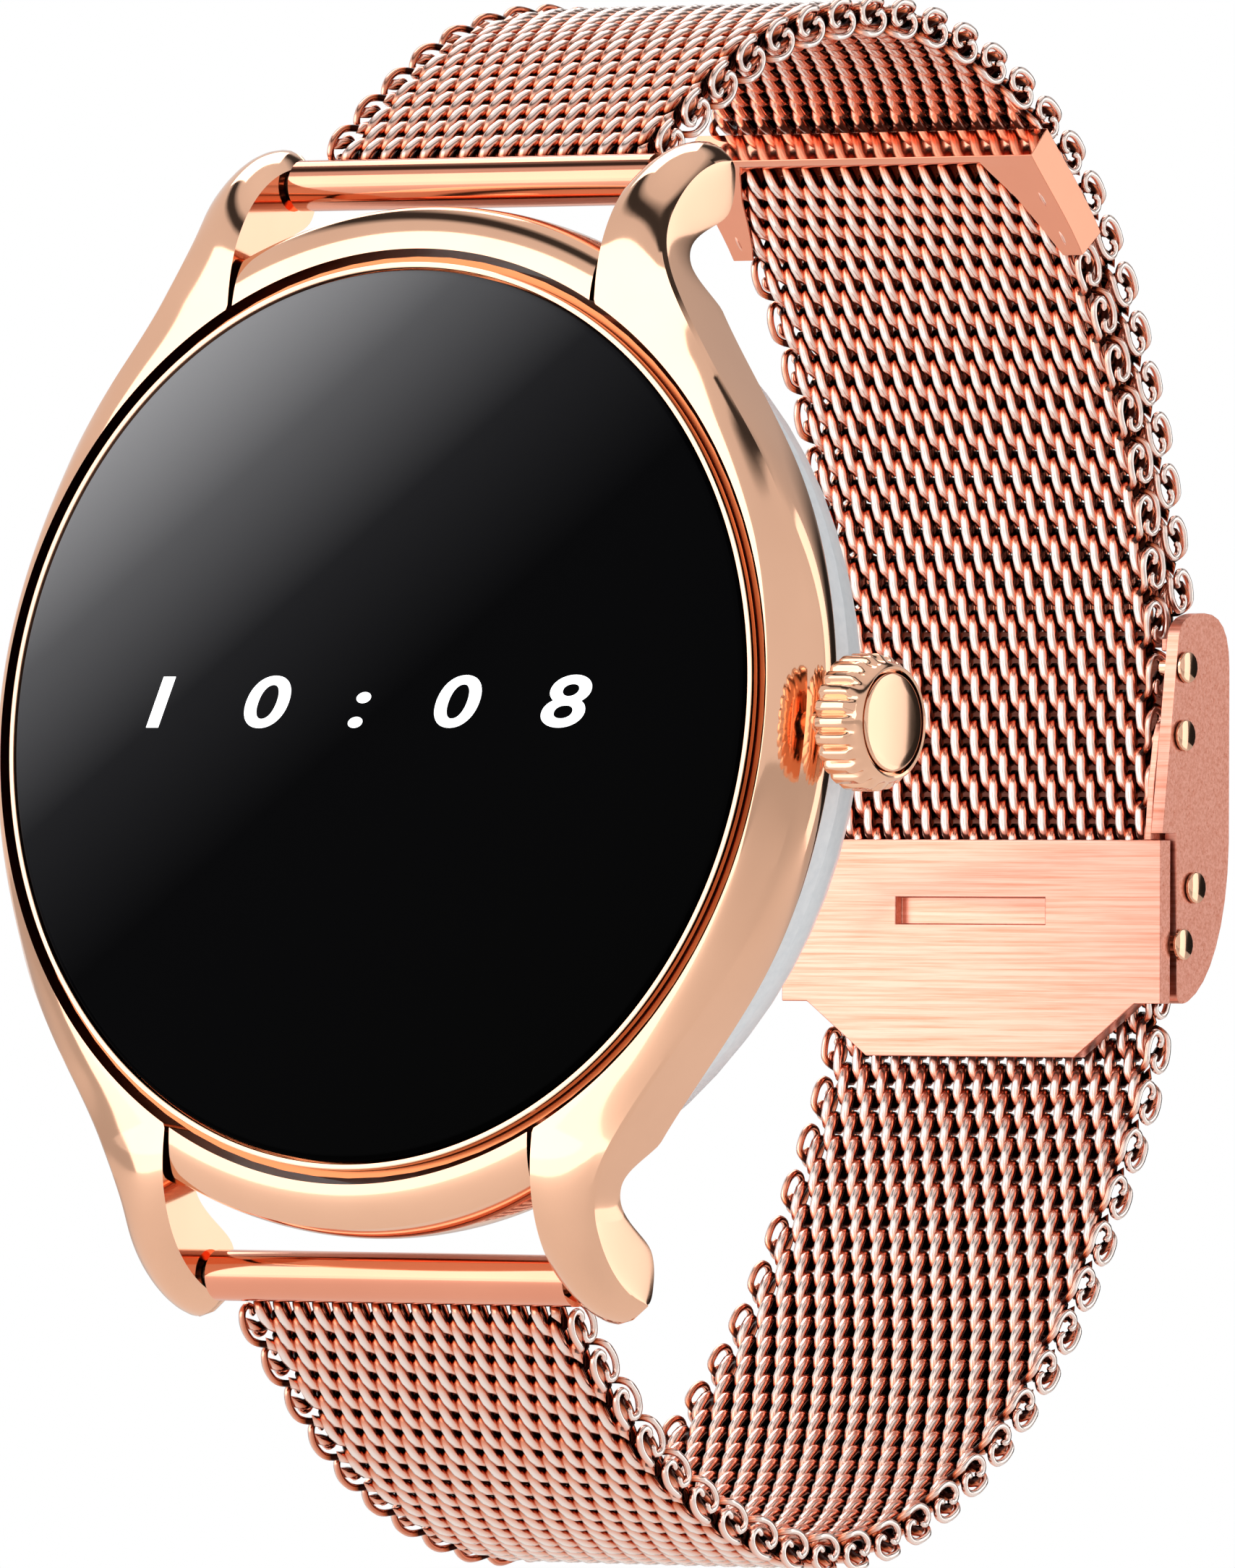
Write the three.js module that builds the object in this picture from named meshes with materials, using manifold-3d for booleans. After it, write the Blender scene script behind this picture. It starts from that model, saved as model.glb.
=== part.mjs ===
// Smartwatch on a woven steel strap: round head with four flowing lugs, a knurled crown,
// and a sliding clasp. Millimetres. The dial looks along -Y, twelve o'clock is +Z and the
// crown is on +X. The origin is the centre of the flat sensor face that rests on the wrist.
import * as THREE from 'three';
import { mergeVertices } from 'three/addons/utils/BufferGeometryUtils.js';
import Module from 'manifold-3d';

const wasm = await Module();
wasm.setup();

// ---------------------------------------------------------------- driving dimensions
const HEAD_THICKNESS = 10; // sensor face to cover glass
const GLASS_RADIUS = 19.1;
const GLASS_THICKNESS = 1;
const CASE_RADIUS = 21.45; // widest radius of the polished wall
const CASE_DEPTH = 3.85; // polished wall, front to back
const GROOVE_WIDTH = 0.6; // shadow groove between glass rim and bezel
const RIM_WIDTH = 0.25; // bright ring around the glass
const ARC_OVERHANG = 0.65; // top and bottom arcs stand out past the wall radius
const SHELL_RADIUS = 20.9; // back shell
const WINDOW_RADIUS = 9.7; // sensor window
const STRAP_WIDTH = 18;
const STRAP_THICKNESS = 1.5;
const BAR_STANDOFF = 0.36; // arc to the strap end tube
const TUBE_RADIUS = 1.1; // strap end tube
const TUBE_OVERHANG = 0.4; // tube past the strap's edge, each side
const LUG_GAP = 0.25; // tube end to lug
const LUG_THICKNESS = 2.75;
const CROWN_RADIUS = 2.9;
const CROWN_LENGTH = 2.3;
const CROWN_STANDOFF = 1.15; // wall to the crown's inner face
const CROWN_TEETH = 24;
const STEM_RADIUS = 0.4;
const TUBE_WALL = 0.15; // crown tube
const CLASP_TILT = 7; // degrees, lean of the straight stretch that the clasp sits on
const CLASP_DEPTH = 37.4; // middle of the clasp's cheeks, along Y
const PLATE_THICKNESS = 0.8; // lock plate
const CHEEK_THICKNESS = 0.6;
const ARM_THICKNESS = 0.35; // lock plate's side arms

// ---------------------------------------------------------------- named clearances
const FIT = 0.1; // concentric pieces that touch
const GAP = 0.3; // pieces cut by, or resting on, a neighbour
const RUNNING = 0.15; // pieces that slide past each other
const ROUND = 72; // facets of the large circles
const MEDIUM_ROUND = 48; // facets of inner discs
const SMALL_ROUND = 16; // facets of pins and screws

// ---------------------------------------------------------------- sizes that follow
const FRONT = -HEAD_THICKNESS;
const CROWN_DEPTH = FRONT + 2.8; // crown axis, along Y
const BAR_DEPTH = FRONT + 4.67; // spring bar axis, along Y
const deep = (y) => (y * HEAD_THICKNESS) / 10; // depth in the stack of inner pieces
const RIM_INNER = GLASS_RADIUS + FIT;
const RIM_OUTER = RIM_INNER + RIM_WIDTH;
const BEZEL_INNER = RIM_OUTER + GROOVE_WIDTH;
const CASE_BACK = FRONT + CASE_DEPTH;
const ARC_RADIUS = CASE_RADIUS + ARC_OVERHANG;
const BAR_OFFSET = ARC_RADIUS + BAR_STANDOFF + TUBE_RADIUS; // spring bar axis, from the dial's centre
const FRAME_RADIUS = BEZEL_INNER - GAP; // midframe, inside the polished wall
const FRAME_BORE = GLASS_RADIUS - 1.8;
const LEDGE = FRONT + GLASS_THICKNESS + GAP; // step that carries the glass
const SHELL_FRONT = CASE_BACK + GAP;
const SHELL_BACK = -0.35; // sensor window stands proud by this much
const SHELL_FLOOR = -1.6;
const SHELL_BORE = SHELL_RADIUS - 1.4;
const TUBE_HALF = STRAP_WIDTH / 2 + TUBE_OVERHANG;
const LUG_INNER = TUBE_HALF + LUG_GAP;
const LUG_OUTER = LUG_INNER + LUG_THICKNESS;
const LUG_TOP = BAR_OFFSET + TUBE_RADIUS + 0.2;
const LUG_BACK = BAR_DEPTH + TUBE_RADIUS + 0.3;
const BAR_RADIUS = TUBE_RADIUS / 2;
const TIP_RADIUS = 0.4;
const TIP_TRAVEL = 1.2;
const TIP_END = LUG_INNER + 0.85;
const CROWN_INNER = CASE_RADIUS + CROWN_STANDOFF;
const CROWN_TUBE = STEM_RADIUS + 0.2 + TUBE_WALL;
const HALF_STRAP = STRAP_WIDTH / 2;

// ---------------------------------------------------------------- materials
const finish = (color, roughness, metalness) =>
  new THREE.MeshStandardMaterial({ color, roughness, metalness });
const MATERIALS = {
  polishedGold: finish(0xf0b48c, 0.12, 1),
  brushedGold: finish(0xf4c4b0, 0.38, 1),
  strapGold: finish(0xe8906c, 0.25, 1),
  steel: finish(0xb8bcc0, 0.35, 1),
  blackGlass: finish(0x060607, 0.05, 0),
  sensorGlass: finish(0x101418, 0.08, 0),
  whiteShell: finish(0xe8ecef, 0.3, 0),
  panel: finish(0x15161a, 0.4, 0),
  bracket: finish(0xa9adb1, 0.4, 1),
  board: finish(0x1f5a3a, 0.55, 0),
  cell: finish(0x9aa3ad, 0.45, 0.6),
  rubber: finish(0x1a1a1a, 0.8, 0),
  darkPlastic: finish(0x2a2b2e, 0.6, 0),
  contact: finish(0xe6c15a, 0.25, 1),
};

// ---------------------------------------------------------------- solids and booleans
// Signed volume of an indexed geometry, positive when its faces point out.
function signedVolume(geometry) {
  const p = geometry.attributes.position;
  const index = geometry.index.array;
  const a = new THREE.Vector3();
  const b = new THREE.Vector3();
  const c = new THREE.Vector3();
  let sum = 0;
  for (let i = 0; i < index.length; i += 3) {
    a.fromBufferAttribute(p, index[i]);
    b.fromBufferAttribute(p, index[i + 1]);
    c.fromBufferAttribute(p, index[i + 2]);
    sum += a.dot(b.cross(c)) / 6;
  }
  return sum;
}

// Closed three.js geometry to a solid, with its shared corners merged.
function solid(geometry) {
  const bare = new THREE.BufferGeometry();
  bare.setAttribute('position', geometry.attributes.position.clone());
  if (geometry.index) bare.setIndex(geometry.index.clone());
  const merged = mergeVertices(bare, 1e-4);
  const faces = Array.from(merged.index.array);
  const triVerts = [];
  for (let i = 0; i < faces.length; i += 3) {
    const [a, b, c] = [faces[i], faces[i + 1], faces[i + 2]];
    if (a !== b && b !== c && c !== a) triVerts.push(a, b, c);
  }
  merged.setIndex(triVerts);
  if (signedVolume(merged) < 0) {
    for (let i = 0; i < triVerts.length; i += 3) {
      [triVerts[i + 1], triVerts[i + 2]] = [triVerts[i + 2], triVerts[i + 1]];
    }
  }
  return new wasm.Manifold(new wasm.Mesh({
    numProp: 3,
    vertProperties: new Float32Array(merged.attributes.position.array),
    triVerts: new Uint32Array(triVerts),
  }));
}

// Solid back to a three.js geometry.
function geometryOf(shape) {
  const mesh = shape.getMesh();
  const geometry = new THREE.BufferGeometry();
  geometry.setAttribute('position', new THREE.BufferAttribute(new Float32Array(mesh.vertProperties), 3));
  geometry.setIndex(new THREE.BufferAttribute(new Uint32Array(mesh.triVerts), 1));
  geometry.computeVertexNormals();
  return geometry;
}

const joinAll = (shapes) => shapes.reduce((whole, next) => whole.add(next));
const cutAll = (shape, cutters) => cutters.reduce((whole, next) => whole.subtract(next), shape);

// ---------------------------------------------------------------- shape helpers
// Ring or disc about the dial axis from [radius, y] corners, closed on itself.
function turned(corners, facets = ROUND) {
  const profile = [...corners, corners[0]].map(([r, y]) => new THREE.Vector2(r, y));
  return solid(new THREE.LatheGeometry(profile, facets));
}

// Disc about the dial axis.
const disc = (radius, y0, y1, facets = ROUND) => turned([[0, y0], [radius, y0], [radius, y1], [0, y1]], facets);

// Plain ring about the dial axis.
const ring = (inner, outer, y0, y1, facets) => turned([[inner, y0], [outer, y0], [outer, y1], [inner, y1]], facets);

// Moves a solid made about the dial axis to another [x, z].
const shifted = (shape, x, z) => shape.translate([x, 0, z]);

// Stepped shaft along X through [y, z], from [x, radius] corners.
function shaft(corners, y, z, facets = SMALL_ROUND) {
  const first = corners[0];
  const last = corners[corners.length - 1];
  const profile = [[first[0], 0], ...corners, [last[0], 0]].map(([x, r]) => new THREE.Vector2(r, x));
  const geometry = new THREE.LatheGeometry(profile, facets);
  geometry.rotateZ(-Math.PI / 2);
  geometry.translate(0, y, z);
  return solid(geometry);
}

const rod = (x0, x1, radius, y, z, facets) => shaft([[x0, radius], [x1, radius]], y, z, facets);

// Box between two corners.
function block(low, high) {
  const size = high.map((value, i) => value - low[i]);
  const geometry = new THREE.BoxGeometry(...size);
  geometry.translate(...low.map((value, i) => value + size[i] / 2));
  return solid(geometry);
}

// Outline drawn in [y, z], extruded along X.
function slabX(shape, x0, x1, curveSegments = 8) {
  const geometry = new THREE.ExtrudeGeometry(shape, { depth: x1 - x0, bevelEnabled: false, curveSegments });
  const axes = new THREE.Matrix4().makeBasis(
    new THREE.Vector3(0, 1, 0), new THREE.Vector3(0, 0, 1), new THREE.Vector3(1, 0, 0));
  geometry.applyMatrix4(axes);
  geometry.translate(x0, 0, 0);
  return solid(geometry);
}

// Outline drawn in [x, z], extruded along Y.
function slabY(shape, y0, y1, curveSegments = 8) {
  const geometry = new THREE.ExtrudeGeometry(shape, { depth: y1 - y0, bevelEnabled: false, curveSegments });
  const axes = new THREE.Matrix4().makeBasis(
    new THREE.Vector3(1, 0, 0), new THREE.Vector3(0, 0, 1), new THREE.Vector3(0, -1, 0));
  geometry.applyMatrix4(axes);
  geometry.translate(0, y1, 0);
  return solid(geometry);
}

// Straight-sided outline from corner points.
const polygon = (points) => new THREE.Shape(points.map(([u, v]) => new THREE.Vector2(u, v)));

// ---------------------------------------------------------------- assembly helpers
const watch = new THREE.Group();

function addPart(name, shape, material) {
  const mesh = new THREE.Mesh(geometryOf(shape), material);
  mesh.name = name;
  watch.add(mesh);
}

// ---------------------------------------------------------------- polished case
// Wall of the case as a turned ring: front edge, rolled shoulder and a slight tuck at the back.
function caseRing(outer) {
  const shoulder = new THREE.EllipseCurve(
    BEZEL_INNER + 0.25, FRONT + 2.1, outer - BEZEL_INNER - 0.25, 2.1, -Math.PI / 2, 0);
  const roll = shoulder.getPoints(6).map((p) => [p.x, p.y]);
  return turned([[BEZEL_INNER, FRONT + 0.25], ...roll, [outer - 0.2, CASE_BACK], [BEZEL_INNER, CASE_BACK]]);
}

// Outline of the head with its lugs on one side, in [x, z].
function lugOutline() {
  const leave = THREE.MathUtils.degToRad(34); // where the lug's line leaves the circle
  const x = CASE_RADIUS * Math.cos(leave);
  const z = CASE_RADIUS * Math.sin(leave);
  const run = 5;
  const top = LUG_TOP + 1;
  const outline = new THREE.Shape();
  outline.moveTo(LUG_INNER, -top);
  outline.lineTo(LUG_OUTER, -top);
  outline.lineTo(LUG_OUTER, -LUG_TOP + 3);
  outline.bezierCurveTo(LUG_OUTER, -LUG_TOP + 6, x - run * Math.sin(leave), -z - run * Math.cos(leave), x, -z);
  outline.absarc(0, 0, CASE_RADIUS, -leave, leave, false);
  outline.bezierCurveTo(x - run * Math.sin(leave), z + run * Math.cos(leave), LUG_OUTER, LUG_TOP - 6,
    LUG_OUTER, LUG_TOP - 3);
  outline.lineTo(LUG_OUTER, top);
  outline.lineTo(LUG_INNER, top);
  return outline;
}

// Side view of the lugs, in [y, z]: the front rolls over the tip, the back dips to a neck.
function lugProfile() {
  const front = FRONT + 0.45;
  const roll = CASE_RADIUS - 3; // where the front starts to roll
  const neckZ = CASE_RADIUS - 1.75;
  const neckY = CASE_BACK - 1.2;
  const tipLow = LUG_TOP - 2.5;
  const profile = new THREE.Shape();
  profile.moveTo(front, 0);
  profile.lineTo(front, roll);
  profile.bezierCurveTo(front + 0.1, roll + 3.9, front + 2.55, LUG_TOP - 0.25, LUG_BACK - 0.55, LUG_TOP);
  profile.quadraticCurveTo(LUG_BACK, LUG_TOP, LUG_BACK, LUG_TOP - 0.95);
  profile.quadraticCurveTo(LUG_BACK + 0.05, tipLow + 0.55, LUG_BACK - 0.35, tipLow);
  profile.bezierCurveTo(LUG_BACK - 0.95, tipLow - 0.75, neckY + 0.25, neckZ + 1.5, neckY, neckZ);
  profile.bezierCurveTo(neckY - 0.05, neckZ - 0.7, CASE_BACK - 0.45, neckZ - 1.2, CASE_BACK, neckZ - 1.9);
  profile.lineTo(CASE_BACK, 0);
  return profile;
}

// Hole in a lug's inner face for the spring bar's tip.
const tipHole = (side, end) => rod(
  side > 0 ? LUG_INNER - 1 : -TIP_END - 0.1, side > 0 ? TIP_END + 0.1 : -LUG_INNER + 1,
  TIP_RADIUS + RUNNING, BAR_DEPTH, end * BAR_OFFSET);

// Clear way for the crown's tube through the wall.
const crownWay = () => rod(14, CROWN_INNER - 0.2, CROWN_TUBE + RUNNING, CROWN_DEPTH, 0);

function sideRail(side) {
  const profile = lugProfile();
  const upper = slabX(profile, LUG_INNER, CASE_RADIUS + 1, 12);
  const lower = upper.mirror([0, 0, 1]);
  const lugs = slabY(lugOutline(), FRONT, 0, 10).intersect(upper.add(lower));
  const half = block([LUG_INNER, FRONT - 1, -LUG_TOP - 2], [CASE_RADIUS + 2, 0, LUG_TOP + 2]);
  const bore = disc(BEZEL_INNER, FRONT - 1, 1);
  const rail = caseRing(CASE_RADIUS).intersect(half).add(lugs.subtract(bore));
  const placed = side > 0 ? rail : rail.mirror([1, 0, 0]);
  const holes = [tipHole(side, 1), tipHole(side, -1)];
  if (side > 0) holes.push(crownWay());
  return cutAll(placed, holes);
}

function bezelArc(end) {
  const half = LUG_INNER - LUG_GAP;
  const low = end > 0 ? 0 : -ARC_RADIUS - 1;
  const window = block([-half, FRONT - 1, low], [half, 1, low + ARC_RADIUS + 1]);
  return caseRing(ARC_RADIUS).intersect(window);
}

function buildCase() {
  addPart('side_rail_right', sideRail(1), MATERIALS.polishedGold);
  addPart('side_rail_left', sideRail(-1), MATERIALS.polishedGold);
  addPart('bezel_arc_top', bezelArc(1), MATERIALS.polishedGold);
  addPart('bezel_arc_bottom', bezelArc(-1), MATERIALS.polishedGold);
  addPart('glass_rim', ring(RIM_INNER, RIM_OUTER, FRONT + 0.05, FRONT + 0.5), MATERIALS.polishedGold);
}

// ---------------------------------------------------------------- midframe and back
const SCREW_RING = 16.9;
const SCREW_SHANK = 0.45;
const SCREW_HEAD = 0.9;
const screwPlaces = [45, 135, 225, 315].map((degrees) => {
  const angle = THREE.MathUtils.degToRad(degrees);
  return [SCREW_RING * Math.cos(angle), SCREW_RING * Math.sin(angle)];
});
const CONTACT_RADIUS = 0.9;
const contactPlaces = [[-2.5, -13.2], [2.5, -13.2]];

function midframe() {
  const step = FRAME_RADIUS - 0.85;
  const body = turned([
    [FRAME_BORE, LEDGE], [RIM_INNER, LEDGE], [RIM_INNER, FRONT + 0.6], [FRAME_RADIUS, FRONT + 0.6],
    [FRAME_RADIUS, CASE_BACK], [step, CASE_BACK], [step, -5.2], [FRAME_BORE, -5.2]]);
  const post = disc(1.07, deep(-6.3), SHELL_FLOOR - GAP, SMALL_ROUND);
  const posts = screwPlaces.map(([x, z]) => shifted(post, x, z));
  const tapped = disc(SCREW_SHANK + RUNNING, -4.2, 0, SMALL_ROUND);
  const holes = screwPlaces.map(([x, z]) => shifted(tapped, x, z));
  return cutAll(joinAll([body, ...posts]), [...holes, crownWay()]);
}

function backShell() {
  const ledgeBore = WINDOW_RADIUS - 1.1;
  const seat = WINDOW_RADIUS + 0.2;
  const body = turned([
    [SHELL_BORE, SHELL_FRONT], [SHELL_RADIUS, SHELL_FRONT], [SHELL_RADIUS, -4.8], [SHELL_RADIUS - 0.35, -3.5],
    [SHELL_RADIUS - 1.2, -2.1], [SHELL_RADIUS - 2.5, -1.05], [SHELL_RADIUS - 4, -0.5], [seat + 1.5, SHELL_BACK],
    [seat, SHELL_BACK], [seat, -1.2], [ledgeBore, -1.2], [ledgeBore, SHELL_FLOOR], [SHELL_BORE - 1.2, SHELL_FLOOR],
    [SHELL_BORE - 0.4, -2.6], [SHELL_BORE, -4.2]]);
  const through = disc(SCREW_SHANK + RUNNING, SHELL_FLOOR - 1, 1, SMALL_ROUND);
  const sink = disc(SCREW_HEAD + RUNNING, -1.05, 1, SMALL_ROUND);
  const screwHoles = screwPlaces.map(([x, z]) => shifted(through.add(sink), x, z));
  const contactHole = disc(CONTACT_RADIUS + RUNNING, SHELL_FLOOR - 1, 1, SMALL_ROUND);
  const contactHoles = contactPlaces.map(([x, z]) => shifted(contactHole, x, z));
  return cutAll(body, [...screwHoles, ...contactHoles, crownWay()]);
}

function buildBack() {
  addPart('midframe', midframe(), MATERIALS.bracket);
  addPart('back_shell', backShell(), MATERIALS.whiteShell);
  const gasket = ring(FRAME_RADIUS - 0.77, SHELL_BORE - FIT, CASE_BACK + 0.05, CASE_BACK + 0.65, MEDIUM_ROUND);
  addPart('back_gasket', gasket.subtract(crownWay()), MATERIALS.rubber);
  addPart('sensor_window', disc(WINDOW_RADIUS, -1.1, 0), MATERIALS.sensorGlass);
  addPart('sensor_board', disc(WINDOW_RADIUS - 1.6, -2.2, -1.7, 48), MATERIALS.board);
  screwPlaces.forEach(([x, z], i) => {
    const head = disc(SCREW_HEAD, -0.95, -0.5, SMALL_ROUND);
    const shank = disc(SCREW_SHANK, -3.9, -0.95, SMALL_ROUND);
    const slot = block([-1.5, -0.7, -0.12], [1.5, 0, 0.12]);
    addPart(`back_screw_${i + 1}`, shifted(head.add(shank).subtract(slot), x, z), MATERIALS.steel);
  });
  contactPlaces.forEach(([x, z], i) => {
    const pin = disc(CONTACT_RADIUS, -2, SHELL_BACK, SMALL_ROUND);
    addPart(`charge_contact_${i + 1}`, shifted(pin, x, z), MATERIALS.contact);
  });
}

// ---------------------------------------------------------------- display and electronics
function buildDisplay() {
  const panelFront = FRONT + GLASS_THICKNESS + FIT;
  const panelRadius = FRAME_BORE - 0.2;
  addPart('cover_glass', disc(GLASS_RADIUS, FRONT, FRONT + GLASS_THICKNESS), MATERIALS.blackGlass);
  addPart('glass_gasket', ring(FRAME_BORE + FIT, GLASS_RADIUS - FIT, FRONT + GLASS_THICKNESS + 0.05, LEDGE - 0.05),
    MATERIALS.rubber);
  addPart('display_panel', disc(panelRadius, panelFront, panelFront + 0.7, MEDIUM_ROUND), MATERIALS.panel);
  const notch = block([10.2, -9, -3.2], [20, 0, 3.2]);
  addPart('display_bracket', disc(panelRadius, deep(-7.8), deep(-7.4), MEDIUM_ROUND).subtract(notch), MATERIALS.bracket);
  const posts = screwPlaces.map(([x, z]) => shifted(disc(1 + GAP, -8, 0, SMALL_ROUND), x, z));
  addPart('main_board', cutAll(disc(16.4, deep(-7), deep(-6.2), MEDIUM_ROUND), [notch, ...posts]), MATERIALS.board);
}

function buildInnards() {
  const cell = new THREE.Shape();
  const [halfX, halfZ, corner] = [8.8, 9.4, 1.5];
  cell.moveTo(-halfX + corner, -halfZ);
  cell.lineTo(halfX - corner, -halfZ);
  cell.quadraticCurveTo(halfX, -halfZ, halfX, -halfZ + corner);
  cell.lineTo(halfX, halfZ - corner);
  cell.quadraticCurveTo(halfX, halfZ, halfX - corner, halfZ);
  cell.lineTo(-halfX + corner, halfZ);
  cell.quadraticCurveTo(-halfX, halfZ, -halfX, halfZ - corner);
  cell.lineTo(-halfX, -halfZ + corner);
  cell.quadraticCurveTo(-halfX, -halfZ, -halfX + corner, -halfZ);
  addPart('battery', slabY(cell, deep(-5.8), -2.6, 4), MATERIALS.cell);
  addPart('vibration_motor', shifted(disc(3, deep(-5.9), deep(-3.2), 24), -12.4, 0), MATERIALS.steel);
  addPart('speaker', block([-5.5, deep(-5.9), -14], [5.5, deep(-3.1), -10.2]), MATERIALS.darkPlastic);
  addPart('microphone', block([4, deep(-5.9), 11], [7.2, deep(-4.9), 13.2]), MATERIALS.steel);
  addPart('side_switch', block([10.5, CROWN_DEPTH - 0.9, -1.8], [13.5, CROWN_DEPTH + 0.9, 1.8]),
    MATERIALS.darkPlastic);
}

// ---------------------------------------------------------------- crown
// Knurled ring: a round blank with evenly spaced scallops.
function crownRing() {
  const x0 = CROWN_INNER;
  const x1 = CROWN_INNER + CROWN_LENGTH;
  const blank = shaft([
    [x0, CROWN_RADIUS - 0.25], [x0 + 0.2, CROWN_RADIUS], [x1 - 0.45, CROWN_RADIUS], [x1 - 0.15, CROWN_RADIUS - 0.4],
    [x1, CROWN_RADIUS - 0.6]], CROWN_DEPTH, 0, CROWN_TEETH * 2);
  const scallops = [];
  for (let i = 0; i < CROWN_TEETH; i += 1) {
    const angle = (i / CROWN_TEETH) * Math.PI * 2;
    const y = CROWN_DEPTH + (CROWN_RADIUS + 0.08) * Math.cos(angle);
    const z = (CROWN_RADIUS + 0.08) * Math.sin(angle);
    scallops.push(rod(x0 - 1, x1 - 0.6, 0.22, y, z, 6));
  }
  const dish = rod(x1 - 0.45, x1 + 1, CROWN_RADIUS - 0.7, CROWN_DEPTH, 0, CROWN_TEETH * 2);
  const bore = rod(x0 - 1, x1 - 0.8, STEM_RADIUS + FIT, CROWN_DEPTH, 0);
  return cutAll(blank, [...scallops, dish, bore]);
}

function buildCrown() {
  const x1 = CROWN_INNER + CROWN_LENGTH;
  const capRadius = CROWN_RADIUS - 0.8;
  const stemEnd = 15.5;
  addPart('crown_ring', crownRing(), MATERIALS.polishedGold);
  addPart('crown_cap', shaft([[x1 - 0.35, capRadius], [x1 - 0.05, capRadius], [x1 + 0.1, capRadius - 0.3]],
    CROWN_DEPTH, 0, CROWN_TEETH * 2), MATERIALS.polishedGold);
  addPart('crown_stem', rod(stemEnd, x1 - 0.9, STEM_RADIUS, CROWN_DEPTH, 0), MATERIALS.steel);
  addPart('crown_tube', rod(17.6, CASE_RADIUS + 0.5, CROWN_TUBE, CROWN_DEPTH, 0)
    .subtract(rod(17, CASE_RADIUS + 2, CROWN_TUBE - TUBE_WALL, CROWN_DEPTH, 0)), MATERIALS.polishedGold);
  const seal = new THREE.TorusGeometry(STEM_RADIUS + 0.1, 0.07, 6, SMALL_ROUND);
  seal.rotateY(Math.PI / 2);
  seal.translate(20.5, CROWN_DEPTH, 0);
  addPart('crown_seal', solid(seal), MATERIALS.rubber);
  const washer = (x, width, radius) => rod(x, x + width, radius, CROWN_DEPTH, 0)
    .subtract(rod(x - 1, x + width + 1, STEM_RADIUS + FIT, CROWN_DEPTH, 0));
  addPart('stem_clip', washer(16.75, 0.25, 0.7), MATERIALS.steel);
  addPart('encoder_wheel', washer(15.95, 0.4, 0.85), MATERIALS.contact);
  addPart('switch_plunger', rod(stemEnd - 1.2, stemEnd - RUNNING, 0.6, CROWN_DEPTH, 0), MATERIALS.darkPlastic);
}

// ---------------------------------------------------------------- clasp frame of reference
// Point [y, z] at `along` up the strap and `out` from its centre line, at the clasp.
const TILT = THREE.MathUtils.degToRad(CLASP_TILT);
const clasp = (along, out) => [
  CLASP_DEPTH - along * Math.sin(TILT) + out * Math.cos(TILT),
  along * Math.cos(TILT) + out * Math.sin(TILT)];

// Rod across the strap at a clasp point.
function crossRod(x0, x1, radius, along, out, facets) {
  const [y, z] = clasp(along, out);
  return rod(x0, x1, radius, y, z, facets);
}

// Box in clasp directions: [x, along, out] corners.
function claspBlock(low, high) {
  const corners = [[low[1], low[2]], [high[1], low[2]], [high[1], high[2]], [low[1], high[2]]];
  return slabX(polygon(corners.map(([a, o]) => clasp(a, o))), low[0], high[0]);
}

// ---------------------------------------------------------------- strap
const CLASP_RUN = 9; // straight stretch either side of the clasp's middle
const STRAP_OUT = -0.4; // long strap's centre line, from the clasp's own line
const EXIT = TUBE_RADIUS + 0.15; // strap start, from the spring bar's axis
const past = (extra) => BAR_OFFSET + extra; // height beyond the spring bar

// Centre line of the long strap, [y, z]: bottom tube, round the wrist, through the clasp, up inside.
const longRoute = [
  [BAR_DEPTH + 0.62 * EXIT, -BAR_OFFSET - 0.78 * EXIT], [-1.2, -past(3.74)], [3.6, -past(7.04)],
  [9.6, -past(9.14)], [15.5, -past(9.54)], [21.5, -past(7.94)], [27.3, -past(4.24)], [32.3, -22.2], [35.8, -15.6],
  ...[-CLASP_RUN, -5, 0, 5, CLASP_RUN].map((along) => clasp(along, STRAP_OUT)),
  [33.9, 15.9], [31.2, 20.9], [27.4, 25.8], [22.9, 29.5]];

// Centre line of the short strap: top tube, over the wrist, down outside to the clasp.
const shortRoute = [
  [BAR_DEPTH + 0.62 * EXIT, BAR_OFFSET + 0.78 * EXIT], [-1.2, past(4.04)], [3.6, past(7.34)],
  [9.6, past(9.34)], [15.5, past(9.74)], [21.8, past(8.34)], [26.6, past(5.84)], [30.6, 25.3], [33.8, 20.2], [36.1, 15.2],
  clasp(10.1, 1.65)];

const centreLine = (route) => new THREE.CatmullRomCurve3(
  route.map(([y, z]) => new THREE.Vector3(0, y, z)), false, 'centripetal');

// Band of even thickness along part of a centre line, extruded across the strap.
function band(route, start, end, thickness, halfWidth, steps) {
  const line = centreLine(route);
  const outer = [];
  const inner = [];
  for (let i = 0; i <= steps; i += 1) {
    const u = start + ((end - start) * i) / steps;
    const p = line.getPointAt(u);
    const t = line.getTangentAt(u);
    outer.push([p.y - (t.z * thickness) / 2, p.z + (t.y * thickness) / 2]);
    inner.push([p.y + (t.z * thickness) / 2, p.z - (t.y * thickness) / 2]);
  }
  return slabX(polygon([...outer, ...inner.reverse()]), -halfWidth, halfWidth);
}

const CAP_LENGTH = 6;
const CAP_THICKNESS = STRAP_THICKNESS + 0.25;
const CAP_WALL = 0.9; // end of the cap, past the strap
const CAP_HALF = HALF_STRAP + 0.35;
const CAP_WINDOW = 6.4; // half the width of the window at its closed end

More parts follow.
